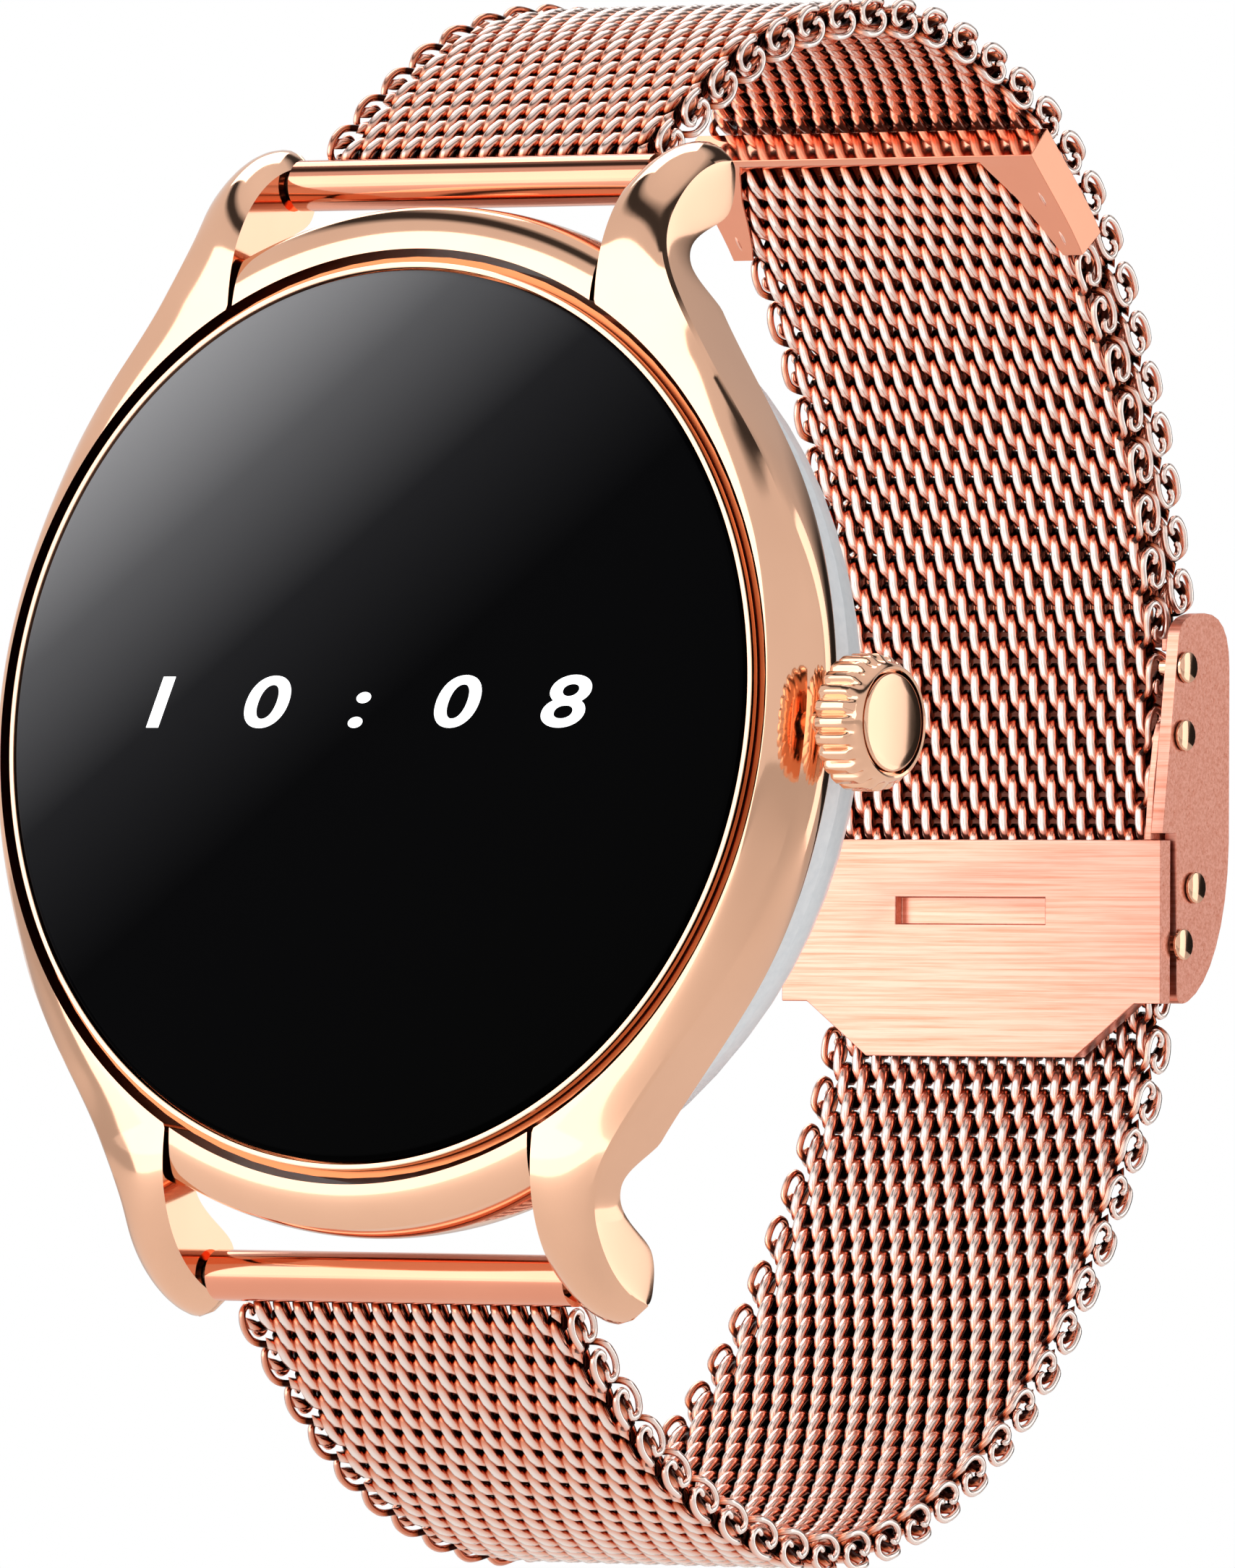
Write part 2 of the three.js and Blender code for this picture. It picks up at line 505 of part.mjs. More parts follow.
// Polished U-shaped cap over the long strap's free end, with a window that shows the weave.
function strapCap() {
  const length = centreLine(longRoute).getLength();
  const share = CAP_LENGTH / length;
  const shell = band(longRoute, 1 - share, 1, CAP_THICKNESS, CAP_HALF, 8);
  const pocket = band(
    longRoute, 1 - share - 0.01, 1 - CAP_WALL / length, STRAP_THICKNESS + FIT, HALF_STRAP + FIT / 2, 10);
  const [y, z] = longRoute[longRoute.length - 1];
  const top = z - CAP_WALL;
  const low = z - CAP_LENGTH;
  const window = polygon([
    [-CAP_WINDOW, top], [CAP_WINDOW, top], [CAP_WINDOW + 0.9, top - 1.3], [CAP_WINDOW + 1.6, low + 2.2],
    [CAP_HALF - 0.3, low], [0.3 - CAP_HALF, low], [-CAP_WINDOW - 1.6, low + 2.2], [-CAP_WINDOW - 0.9, top - 1.3]]);
  return shell.subtract(pocket).subtract(slabY(window, y - 1, y + CAP_LENGTH));
}

function endTube(end) {
  const z = end * BAR_OFFSET;
  const tube = rod(-TUBE_HALF, TUBE_HALF, TUBE_RADIUS, BAR_DEPTH, z, 32)
    .subtract(rod(-TUBE_HALF - 1, TUBE_HALF + 1, BAR_RADIUS + RUNNING, BAR_DEPTH, z));
  const slot = block([4.9, BAR_DEPTH, z - 0.6], [8, BAR_DEPTH + 3, z + 0.6]);
  return tube.subtract(slot);
}

function buildSpringBar(name, end) {
  const z = end * BAR_OFFSET;
  const sleeveEnd = 4.3;
  const sleeve = shaft([[-TIP_END, TIP_RADIUS], [-TUBE_HALF, TIP_RADIUS], [-TUBE_HALF, BAR_RADIUS],
    [sleeveEnd, BAR_RADIUS]], BAR_DEPTH, z);
  addPart(`${name}_spring_bar`, sleeve, MATERIALS.steel);
  const slideStart = sleeveEnd + TIP_TRAVEL + RUNNING;
  const slide = shaft([[slideStart, BAR_RADIUS], [TUBE_HALF - 0.1, BAR_RADIUS], [TUBE_HALF - 0.1, TIP_RADIUS],
    [TIP_END, TIP_RADIUS]], BAR_DEPTH, z);
  const knob = new THREE.CylinderGeometry(0.4, 0.4, 1.5, 12);
  knob.translate(7.3, BAR_DEPTH + 0.85, z);
  addPart(`${name}_release_pin`, slide.add(solid(knob)), MATERIALS.steel);
}

function buildStrap() {
  addPart('top_end_tube', endTube(1), MATERIALS.strapGold);
  addPart('bottom_end_tube', endTube(-1), MATERIALS.strapGold);
  buildSpringBar('top', 1);
  buildSpringBar('bottom', -1);
  const longLength = centreLine(longRoute).getLength();
  addPart('short_mesh', band(shortRoute, 0, 1, STRAP_THICKNESS, HALF_STRAP, 40), MATERIALS.strapGold);
  addPart('long_mesh', band(longRoute, 0, 1 - 1 / longLength, STRAP_THICKNESS, HALF_STRAP, 64),
    MATERIALS.strapGold);
  addPart('strap_cap', strapCap(), MATERIALS.strapGold);
}

// ---------------------------------------------------------------- clasp
const CHEEK_INNER = HALF_STRAP + 2 * RUNNING + ARM_THICKNESS;
const CHEEK_OUTER = CHEEK_INNER + CHEEK_THICKNESS;
const ARM_INNER = HALF_STRAP + RUNNING;
const ARM_OUTER = ARM_INNER + ARM_THICKNESS;
const PLATE_HALF = CHEEK_OUTER - FIT;
const PLATE_OUT = -2.35; // wrist side of the lock plate
const PLATE_TOP = 0.6;
const PLATE_SHOULDER = -6.6;
const PLATE_TAIL = -9;
const SLOT_DEPTH = 0.5;
const SKIN = 0.45; // outer plates of the clasp
const SKIN_OUT = 2.9; // outer face of the clasp
const COVER_TOP = 8.7;
const COVER_LOW = -1.5;
const RIVET_RADIUS = 0.4;
const RIVET_HEAD = 0.7;
const BOSS = 0.75; // arm ends around their pivots
const HOOK_STUD = [8.2, -0.6]; // [along, out] of each pair of rivets
const LOCK_PIVOT = [5.2, -0.75];
const COVER_PIVOT = [-1.5, 0.1];
const FRAME_RIVET = [-4, -0.9];

// Outer curve of the clasp's side, in clasp directions, moved inwards by `inset`.
const lowerCurve = (inset) => new THREE.CubicBezierCurve(
  new THREE.Vector2(-6.5 + inset, -0.3), new THREE.Vector2(-5.8 + inset, 1.4),
  new THREE.Vector2(-3.2, SKIN_OUT - 0.1 - inset), new THREE.Vector2(0.5, SKIN_OUT - inset));

// Cheek of the clasp seen from the side.
function cheekOutline() {
  const outline = new THREE.Shape();
  outline.moveTo(...clasp(9.6, -1.1));
  outline.lineTo(...clasp(PLATE_TOP + GAP, PLATE_OUT));
  outline.lineTo(...clasp(PLATE_TOP + GAP, PLATE_OUT + PLATE_THICKNESS + GAP));
  outline.lineTo(...clasp(-6.2, -1.2));
  outline.quadraticCurveTo(...clasp(-6.8, -1.1), ...clasp(-6.5, -0.3));
  lowerCurve(0).getPoints(8).slice(1).forEach((p) => outline.lineTo(...clasp(p.x, p.y)));
  outline.lineTo(...clasp(COVER_TOP - 0.5, SKIN_OUT));
  outline.quadraticCurveTo(...clasp(10.6, SKIN_OUT), ...clasp(10.6, 0.9));
  outline.quadraticCurveTo(...clasp(10.6, -0.9), ...clasp(9.6, -1.1));
  return outline;
}

// Strip of the outer curve between two shares of its length, SKIN thick.
function curvedSkin(start, end, half) {
  const steps = 5;
  const outer = [];
  const inner = [];
  for (let i = 0; i <= steps; i += 1) {
    const share = start + ((end - start) * i) / steps;
    outer.push(lowerCurve(FIT).getPointAt(share));
    inner.push(lowerCurve(FIT + SKIN).getPointAt(share));
  }
  return slabX(polygon([...outer, ...inner.reverse()].map((p) => clasp(p.x, p.y))), -half, half);
}

// Two thin arms of one outline, one inside each cheek.
function armPair(points) {
  const outline = polygon(points.map(([along, out]) => clasp(along, out)));
  return [slabX(outline, ARM_INNER, ARM_OUTER), slabX(outline, -ARM_OUTER, -ARM_INNER)];
}

// Eight-sided boss around a pivot, as outline points between two directions in degrees.
function bossArc([along, out], from, to) {
  const points = [];
  for (let angle = from; angle <= to + 1; angle += 45) {
    const turn = THREE.MathUtils.degToRad(angle);
    points.push([along + BOSS * Math.cos(turn), out + BOSS * Math.sin(turn)]);
  }
  return points;
}

const pivotBore = (pin) => crossRod(-CHEEK_OUTER - 1, CHEEK_OUTER + 1, RIVET_RADIUS + FIT, ...pin);

// Two cheeks joined by the fixed outer plate and by a bridge that rests on the strap.
function claspFrame() {
  const outline = cheekOutline();
  const right = slabX(outline, CHEEK_INNER, CHEEK_OUTER, 6);
  const left = slabX(outline, -CHEEK_OUTER, -CHEEK_INNER, 6);
  const half = CHEEK_INNER + 0.1;
  const bridge = claspBlock([-half, -5.6, 0.6], [half, -4.2, 1.1]);
  const skin = curvedSkin(0.12, 0.44, half);
  const bores = [HOOK_STUD, LOCK_PIVOT, COVER_PIVOT, FRAME_RIVET].map(pivotBore);
  return cutAll(joinAll([right, left, bridge, skin]), bores);
}

// Inner plate with a blind slot for a pry tool, a tapered tail and two arms up to its pivots.
function lockPlate() {
  const outline = polygon([
    [-PLATE_HALF, PLATE_TOP], [PLATE_HALF, PLATE_TOP], [PLATE_HALF, PLATE_SHOULDER], [8.8, PLATE_SHOULDER],
    [5.6, PLATE_TAIL], [-5.6, PLATE_TAIL], [-8.8, PLATE_SHOULDER], [-PLATE_HALF, PLATE_SHOULDER]]);
  const flat = new THREE.ExtrudeGeometry(outline, { depth: PLATE_THICKNESS, bevelEnabled: false });
  const up = new THREE.Vector3(0, -Math.sin(TILT), Math.cos(TILT));
  const out = new THREE.Vector3(0, Math.cos(TILT), Math.sin(TILT));
  const across = new THREE.Vector3(-1, 0, 0);
  flat.applyMatrix4(new THREE.Matrix4().makeBasis(across, up, out));
  const [y, z] = clasp(0, PLATE_OUT);
  flat.translate(0, y, z);
  const slot = claspBlock([-4, -3.15, PLATE_OUT - 1], [4, -1.95, PLATE_OUT + SLOT_DEPTH]);
  const arms = armPair([
    [PLATE_TOP - 0.9, PLATE_OUT + 0.2], [PLATE_TOP - 0.1, PLATE_OUT + 0.2], [3, -1.9],
    ...bossArc(LOCK_PIVOT, -90, 135), [PLATE_TOP, -0.9], [PLATE_TOP - 0.9, -1.2]]);
  return joinAll([solid(flat), ...arms]).subtract(slot).subtract(pivotBore(LOCK_PIVOT));
}

// Rivet through one cheek, with a flat head outside it.
function sideRivet(side, pin) {
  const head = CHEEK_OUTER + 0.05;
  const [y, z] = clasp(...pin);
  const rivet = shaft([[HALF_STRAP + 0.08, RIVET_RADIUS], [head, RIVET_RADIUS], [head, RIVET_HEAD],
    [head + 0.15, RIVET_HEAD], [head + 0.2, RIVET_HEAD - 0.1]], y, z);
  return side > 0 ? rivet : rivet.mirror([1, 0, 0]);
}

// Fold-over cover: outer plate with an arm down to each pivot.
function claspCover() {
  const half = CHEEK_INNER - RUNNING;
  const inner = SKIN_OUT - FIT - SKIN;
  const plate = claspBlock([-half, COVER_LOW + 2, inner], [half, COVER_TOP, inner + SKIN]);
  const lip = claspBlock([-half, COVER_TOP - 0.4, inner - 0.25], [half, COVER_TOP, inner + 0.1]);
  const arms = armPair([
    ...bossArc(COVER_PIVOT, 180, 360), [COVER_LOW + 3.4, inner + 0.1], [COVER_LOW + 0.8, inner + 0.1]]);
  const curve = curvedSkin(0.78, 1, half);
  return joinAll([plate, lip, curve, ...arms]).subtract(pivotBore(COVER_PIVOT));
}

// End piece of the short strap, with an open hook over the stud on each side.
function hookPlate() {
  const bar = claspBlock([-ARM_OUTER, 9.1, 0.9], [ARM_OUTER, 9.85, 2.3]);
  const hooks = armPair([
    [9.6, 2], [8, 1.9], [7.6, 0.4], [7.55, 0.1], [8.9, 0.1], [8.9, -0.9], [9.5, -0.9], [9.6, 1]]);
  return joinAll([bar, ...hooks]);
}

function buildClasp() {
  addPart('clasp_frame', claspFrame(), MATERIALS.brushedGold);
  addPart('lock_plate', lockPlate(), MATERIALS.brushedGold);
  addPart('clasp_cover', claspCover(), MATERIALS.brushedGold);
  addPart('hook_plate', hookPlate(), MATERIALS.brushedGold);
  const pairs = { hook_stud: HOOK_STUD, lock_pivot: LOCK_PIVOT, cover_pivot: COVER_PIVOT, frame_rivet: FRAME_RIVET };
  for (const [word, side] of [['right', 1], ['left', -1]]) {
    for (const [name, pin] of Object.entries(pairs)) {
      addPart(`${name}_${word}`, sideRivet(side, pin), MATERIALS.polishedGold);
    }
  }
}

buildCase();
buildBack();
buildDisplay();
buildInnards();
buildCrown();
buildStrap();
buildClasp();

export default watch;
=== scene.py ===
"""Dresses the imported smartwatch: polished case, black glass, knurled crown, woven strap and clasp.

Lengths inside the shape code are millimetres in the CAD frame (dial towards -Y, twelve o'clock
towards +Z, crown towards +X); they become metres when a mesh is written.
"""

from __future__ import annotations

import logging
import math
from collections.abc import Sequence
from dataclasses import dataclass, field
from enum import Enum

import bmesh
import bpy
import numpy as np
from mathutils import Matrix, Vector


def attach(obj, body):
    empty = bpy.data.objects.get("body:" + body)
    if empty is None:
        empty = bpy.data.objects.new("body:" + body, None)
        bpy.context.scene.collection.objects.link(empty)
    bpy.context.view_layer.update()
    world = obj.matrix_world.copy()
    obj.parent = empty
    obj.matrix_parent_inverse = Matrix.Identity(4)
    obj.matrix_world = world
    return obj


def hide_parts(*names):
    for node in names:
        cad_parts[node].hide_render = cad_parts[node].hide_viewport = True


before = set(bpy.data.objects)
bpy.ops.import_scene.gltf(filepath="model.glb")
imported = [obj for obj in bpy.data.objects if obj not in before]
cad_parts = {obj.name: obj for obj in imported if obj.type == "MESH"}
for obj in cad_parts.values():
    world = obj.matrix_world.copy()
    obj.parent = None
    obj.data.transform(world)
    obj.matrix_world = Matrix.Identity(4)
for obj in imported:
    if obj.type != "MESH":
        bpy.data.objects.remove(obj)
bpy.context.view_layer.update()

LOG = logging.getLogger("watch")
LIT_POINT = Vector((0, 0.0117, 0))  # metres, between the head and the clasp
MM = 0.001
Array = np.ndarray
Tree = bpy.types.NodeTree
Node = bpy.types.Node
Socket = bpy.types.NodeSocket
Piece = bpy.types.Object
Colour = tuple[float, float, float, float]
Values = dict[str, object]
Links = dict[str, Socket]
Stops = Sequence[tuple[float, Colour]]
Point = tuple[float, float]
Direction = tuple[float, float, float]


# ---------------------------------------------------------------- shared material tools
def srgb(code: str) -> Colour:
    """Turns an sRGB hex colour into linear RGBA.

    Args:
        code: Six hex digits, such as "f0b48c".

    Returns:
        Linear red, green and blue, and an alpha of one.
    """
    channels = [int(code[i : i + 2], 16) / 255 for i in (0, 2, 4)]
    red, green, blue = (c / 12.92 if c <= 0.04045 else ((c + 0.055) / 1.055) ** 2.4 for c in channels)
    return (red, green, blue, 1.0)


def set_up(tree: Tree, node: Node, settings: Values, links: Links, stops: Stops = ()) -> None:
    """Gives a node its values, links and ramp stops.

    Args:
        tree: Node tree that holds the node.
        node: The node.
        settings: Values by input name, or by property name where there is no such input.
        links: Output sockets by the name of the input that each feeds.
        stops: Position and linear colour of each stop, where the node is a colour ramp.
    """
    for name, value in settings.items():
        if name in node.inputs:
            node.inputs[name].default_value = value
        else:
            setattr(node, name, value)
    for name, socket in links.items():
        tree.links.new(socket, node.inputs[name])
    for i, (position, colour) in enumerate(stops):
        elements = node.color_ramp.elements
        element = elements[i] if i < len(elements) else elements.new(position)
        element.position, element.color = position, colour


def add_node(
    tree: Tree, kind: str, settings: Values | None = None, links: Links | None = None, stops: Stops = ()
) -> Node:
    """Adds one shader node and sets it up.

    Args:
        tree: Node tree that takes the node.
        kind: Blender's node type, without the ShaderNode prefix.
        settings: As in set_up.
        links: As in set_up.
        stops: As in set_up.

    Returns:
        The new node.
    """
    node = tree.nodes.new("ShaderNode" + kind)
    set_up(tree, node, settings or {}, links or {}, stops)
    return node


def principled(name: str) -> tuple[bpy.types.Material, Tree, Node]:
    """Makes an empty material with one principled shader.

    Args:
        name: Name of the material.

    Returns:
        The material, its node tree and the shader.
    """
    material = bpy.data.materials.new(name)
    material.use_nodes = True
    tree = material.node_tree
    tree.nodes.clear()
    shader = add_node(tree, "BsdfPrincipled")
    add_node(tree, "OutputMaterial", links={"Surface": shader.outputs["BSDF"]})
    return material, tree, shader


def grain(tree: Tree, sizes_mm: tuple[float, float, float], detail: float, roughness: float = 0.5) -> Socket:
    """Cloudy pattern on object coordinates.

    Args:
        tree: Node tree that takes it.
        sizes_mm: Size of its patches along X, Y and Z.
        detail: How many finer layers it has.
        roughness: How strong each finer layer is.

    Returns:
        Its value, about 0.5 on average.
    """
    where = add_node(tree, "TexCoord").outputs["Object"]
    scale = tuple(1 / (size * MM) for size in sizes_mm)
    point = add_node(tree, "Mapping", {"Scale": scale}, {"Vector": where}).outputs["Vector"]
    layers = {"Scale": 1.0, "Detail": detail, "Roughness": roughness}
    return add_node(tree, "TexNoise", layers, {"Vector": point}).outputs["Fac"]


# ---------------------------------------------------------------- finishes
@dataclass(frozen=True)
class Finish:
    """What every finish has: its material's name and the slot that it fills."""

    name: str
    slot: str


@dataclass(frozen=True)
class MirrorPlating(Finish):
    """Mirror-polished plating on steel: clear reflections, softened here and there by handling."""

    colour: str
    roughness: float = 0.07
    smear_mm: float = 6.0
    worn: str = "f9f7f6"

    def build(self) -> bpy.types.Material:
        """Makes the material."""
        material, tree, shader = principled(self.name)
        smear = grain(tree, (self.smear_mm,) * 3, 3.0)
        spread = {"To Min": self.roughness * 0.75, "To Max": self.roughness * 1.5}
        rough = add_node(tree, "MapRange", spread, {"Value": smear}).outputs["Result"]
        wear = add_node(tree, "ValToRGB", {}, {"Fac": smear}, [(0.3, srgb(self.worn)), (0.7, srgb("ffffff"))])
        plated = {"blend_type": "MULTIPLY", "Fac": 1.0, "Color1": srgb(self.colour)}
        tone = add_node(tree, "MixRGB", plated, {"Color2": wear.outputs["Color"]}).outputs["Color"]
        set_up(tree, shader, {"Metallic": 1.0}, {"Base Color": tone, "Roughness": rough})
        return material


@dataclass(frozen=True)
class WovenPlating(Finish):
    """Plated drawn wire with painted light: a painted highlight where it stands proud of the mesh, painted
    shade in dark brown deep between strands.

    The painted colour follows the mesh's own "proud" attribute, 0 in the middle of the mesh and 1 at its
    faces; a fine drawing grain breaks up the highlights.
    """

    # Near-white painted highlight on the crests.
    crest_highlight: str
    flank: str
    root: str
    # Dark brown painted shade deep between strands.
    depth: str
    roughness: float = 0.2
    drawn_mm: float = 0.5

    def build(self) -> bpy.types.Material:
        """Makes the material."""
        material, tree, shader = principled(self.name)
        proud = add_node(tree, "Attribute", {"attribute_name": "proud"}).outputs["Fac"]
        # Painted shade: points deep in the mesh get the dark brown, and the crests get a painted highlight.
        sunk = ((0.0, self.depth), (0.36, self.depth), (0.52, self.root))
        levels = (*sunk, (0.72, self.flank), (0.93, self.crest_highlight))
        stops = [(level, srgb(colour)) for level, colour in levels]
        tone = add_node(tree, "ValToRGB", {}, {"Fac": proud}, stops).outputs["Color"]
        drawn = grain(tree, (self.drawn_mm,) * 3, 2.0)
        spread = {"To Min": self.roughness * 0.7, "To Max": self.roughness * 1.4}
        rough = add_node(tree, "MapRange", spread, {"Value": drawn}).outputs["Result"]
        set_up(tree, shader, {"Metallic": 1.0}, {"Base Color": tone, "Roughness": rough})
        return material


@dataclass(frozen=True)
class BrushedPlating(Finish):
    """Metal brushed across the strap: long fine scratches along X that stretch highlights."""

    colour: str
    shade: str
    roughness: float = 0.3
    grit_mm: float = 0.12
    stroke_mm: float = 7.2
    scratch_mm: float = 0.02

    def build(self) -> bpy.types.Material:
        """Makes the material."""
        material, tree, shader = principled(self.name)
        scratch = grain(tree, (self.stroke_mm, self.grit_mm, self.grit_mm), 4.0, 0.65)
        stops = [(0.32, srgb(self.shade)), (0.62, srgb(self.colour))]
        tone = add_node(tree, "ValToRGB", {}, {"Fac": scratch}, stops).outputs["Color"]
        spread = {"To Min": self.roughness * 0.7, "To Max": self.roughness * 1.4}
        rough = add_node(tree, "MapRange", spread, {"Value": scratch}).outputs["Result"]
        cut = {"Strength": 0.25, "Distance": self.scratch_mm * MM}
        normal = add_node(tree, "Bump", cut, {"Height": scratch}).outputs["Normal"]
        set_up(tree, shader, {"Metallic": 1.0}, {"Base Color": tone, "Roughness": rough, "Normal": normal})
        return material


@dataclass(frozen=True)
class DarkGlass(Finish):
    """Cover glass bonded to a lit dark display: black, with a painted reflection of a faint grey sky across
    one corner.

    The painted greys run up a line that leans from twelve o'clock; the glass itself mirrors almost nothing
    else.
    """

    # Lightest grey of the painted sky reflection.
    glow: str
    radius_mm: float
    lean: float = math.radians(38)

    def build(self) -> bpy.types.Material:
        """Makes the material."""
        material, tree, shader = principled(self.name)
        where = add_node(tree, "TexCoord").outputs["Object"]
        turn = {"Rotation": (0.0, self.lean, 0.0), "Scale": (1 / (self.radius_mm * MM),) * 3}
        leaning = add_node(tree, "Mapping", turn, {"Vector": where}).outputs["Vector"]
        up = add_node(tree, "SeparateXYZ", {}, {"Vector": leaning}).outputs["Z"]
        whole = {"From Min": -1.0, "From Max": 1.0}
        height = add_node(tree, "MapRange", whole, {"Value": up}).outputs["Result"]
        # Painted reflection: black rising to a grey sky along the leaning line.
        levels = ((0.0, "000000"), (0.5, "020203"), (0.68, "1c1c1e"), (0.84, "505052"), (1.0, self.glow))
        stops = [(level, srgb(colour)) for level, colour in levels]
        painted_sky_reflection = add_node(tree, "ValToRGB", {}, {"Fac": height}, stops).outputs["Color"]
        set_up(tree, shader, {"Roughness": 0.03, "IOR": 1.5, "Specular IOR Level": 0.01}, {"Base Color": painted_sky_reflection})
        return material


@dataclass(frozen=True)
class Moulding(Finish):
    """Moulded polymer, rubber, board or pouch: an even colour with a fine grain."""

    colour: str
    shade: str
    roughness: float
    metallic: float = 0.0
    grain_mm: float = 0.4
    bump: float = 0.1
    bump_mm: float = 0.01

    def build(self) -> bpy.types.Material:
        """Makes the material."""
        material, tree, shader = principled(self.name)
        texture = grain(tree, (self.grain_mm,) * 3, 5.0)
        stops = [(0.35, srgb(self.shade)), (0.65, srgb(self.colour))]
        tone = add_node(tree, "ValToRGB", {}, {"Fac": texture}, stops).outputs["Color"]
        relief = {"Strength": self.bump, "Distance": self.bump_mm * MM}
        normal = add_node(tree, "Bump", relief, {"Height": texture}).outputs["Normal"]
        even = {"Metallic": self.metallic, "Roughness": self.roughness}
        set_up(tree, shader, even, {"Base Color": tone, "Normal": normal})
        return material


@dataclass(frozen=True)
class LitInk(Finish):
    """White lit numerals of the display, as bright as paper."""

    def build(self) -> bpy.types.Material:
        """Makes the material."""
        material, tree, shader = principled(self.name)
        white = {"Base Color": srgb("ffffff"), "Emission Color": srgb("ffffff"), "Emission Strength": 1.0}
        set_up(tree, shader, {**white, "Roughness": 0.5}, {})
        return material


class Finishes(Enum):
    """Every finish on the watch; its name says what it really is and how it was made."""

    # Pale warm mirror, lighter than the strap.
    CASE = MirrorPlating("polished_rose_gold_plating", "polished_rose_gold", "f8c4a4")
    # The case plating darkened as painted shade, seen only down the groove round the glass.
    GROOVE_PAINTED_SHADE = MirrorPlating("polished_rose_gold_groove_painted_shade", "polished_rose_gold", "c8764c", 0.2)
    # Painted highlights in white on the crests, coral flanks, and painted shade in dark brown in the gaps.
    WIRE = WovenPlating(
        "drawn_wire_rose_gold_plating", "woven_rose_gold", "ffeee6", "f6b096", "c8643e", "2c100a"
    )
    # Coral mirror with long highlights.
    TUBE = MirrorPlating("polished_coral_gold_plating", "woven_rose_gold", "f4a486", 0.08)
    # Salmon pink with scratches across the strap.
    CLASP = BrushedPlating("brushed_rose_gold_plating", "brushed_rose_gold", "e4a491", "c87c64")
    # Grey turned metal of the bars, screws and rod.
    STEEL = BrushedPlating("turned_stainless_steel", "steel", "c9ccd0", "aeb2b7", 0.28)
    # Black, with a painted reflection of a grey sky at the upper left.
    GLASS = DarkGlass("bonded_display_glass", "black_glass", "8c8c8e", 19.1)
    # Nearly black and glossy.
    SENSOR = Moulding("smoked_sensor_glass", "sensor_glass", "16191c", "101214", 0.06, bump=0.0)
    # Cool white with a soft sheen.
    SHELL = Moulding("moulded_white_polycarbonate", "white_shell", "eef1f4", "e6eaee", 0.28)
    # Charcoal, behind the glass.
    PANEL = Moulding("display_laminate", "panel", "1a1b20", "131418", 0.35)
    # Dull pale sheet metal.
    BRACKET = BrushedPlating("stamped_aluminium_sheet", "bracket", "bfc3c7", "a5a9ad", 0.4)
    # Mottled green.
    BOARD = Moulding("solder_masked_board", "board", "1f6a42", "17502f", 0.45, grain_mm=1.2)
    # Silvery foil.
    CELL = Moulding("pouch_cell_foil", "cell", "aab2bb", "98a0aa", 0.35, metallic=0.7, grain_mm=2.0)
    # Matt near-black.
    RUBBER = Moulding("moulded_silicone_rubber", "rubber", "1c1c1d", "151516", 0.7)
    # Dark grey, slightly rough.
    PLASTIC = Moulding("glass_filled_nylon", "dark_plastic", "303134", "26272a", 0.55)
    # Yellow gold.
    CONTACT = BrushedPlating("gold_flashed_brass", "contact", "f0cf74", "d6b158", 0.22)
    # Flat white.
    INK = LitInk("display_numerals", "panel")


class Palette:
    """Builds each finish once, when a piece first needs it."""

    def __init__(self) -> None:
        """Starts with no material built."""
        self.made: dict[Finishes, bpy.types.Material] = {}

    def get(self, finish: Finishes) -> bpy.types.Material:
        """Returns the material of a finish, building it the first time."""
        if finish not in self.made:
            self.made[finish] = finish.value.build()
        return self.made[finish]


PALETTE = Palette()


# ---------------------------------------------------------------- shared mesh tools
def grid_faces(rows: int, cols: int, close_rows: bool, close_cols: bool) -> Array:
    """Quads of a grid of points.

    Args:
        rows: Number of rows.
        cols: Number of columns.
        close_rows: Whether the last row joins the first.
        close_cols: Whether the last column joins the first.

    Returns:
        One row of four point numbers for each quad.
    """
    r = np.arange(rows if close_rows else rows - 1)
    c = np.arange(cols if close_cols else cols - 1)
    low, left = np.meshgrid(r, c, indexing="ij")
    high, right = (low + 1) % rows, (left + 1) % cols
    quads = [low * cols + left, low * cols + right, high * cols + right, high * cols + left]
    return np.stack(quads, axis=-1).reshape(-1, 4)


def write_mesh(name: str, points: Array, faces: Array, ends: Sequence[Sequence[int]] = ()) -> Piece:
    """Makes a smooth-shaded object from points in millimetres.

    Args:
        name: Name of the object.
        points: Point positions, one row each.
        faces: Quads, one row each.
        ends: Extra many-sided faces that close open ends.

    Returns:
        The object, at the origin and linked into the scene.
    """
    mesh = bpy.data.meshes.new(name)
    if len(ends):
        mesh.from_pydata((points * MM).tolist(), [], faces.tolist() + [list(end) for end in ends])
    else:
        mesh.vertices.add(len(points))
        mesh.vertices.foreach_set("co", (points * MM).astype(np.float32).ravel())
        mesh.loops.add(faces.size)
        mesh.loops.foreach_set("vertex_index", faces.astype(np.int32).ravel())
        mesh.polygons.add(len(faces))
        mesh.polygons.foreach_set("loop_start", np.arange(0, faces.size, 4, dtype=np.int32))
        mesh.update(calc_edges=True)
        mesh.validate()
    piece = bpy.data.objects.new(name, mesh)
    bpy.context.scene.collection.objects.link(piece)
    return piece


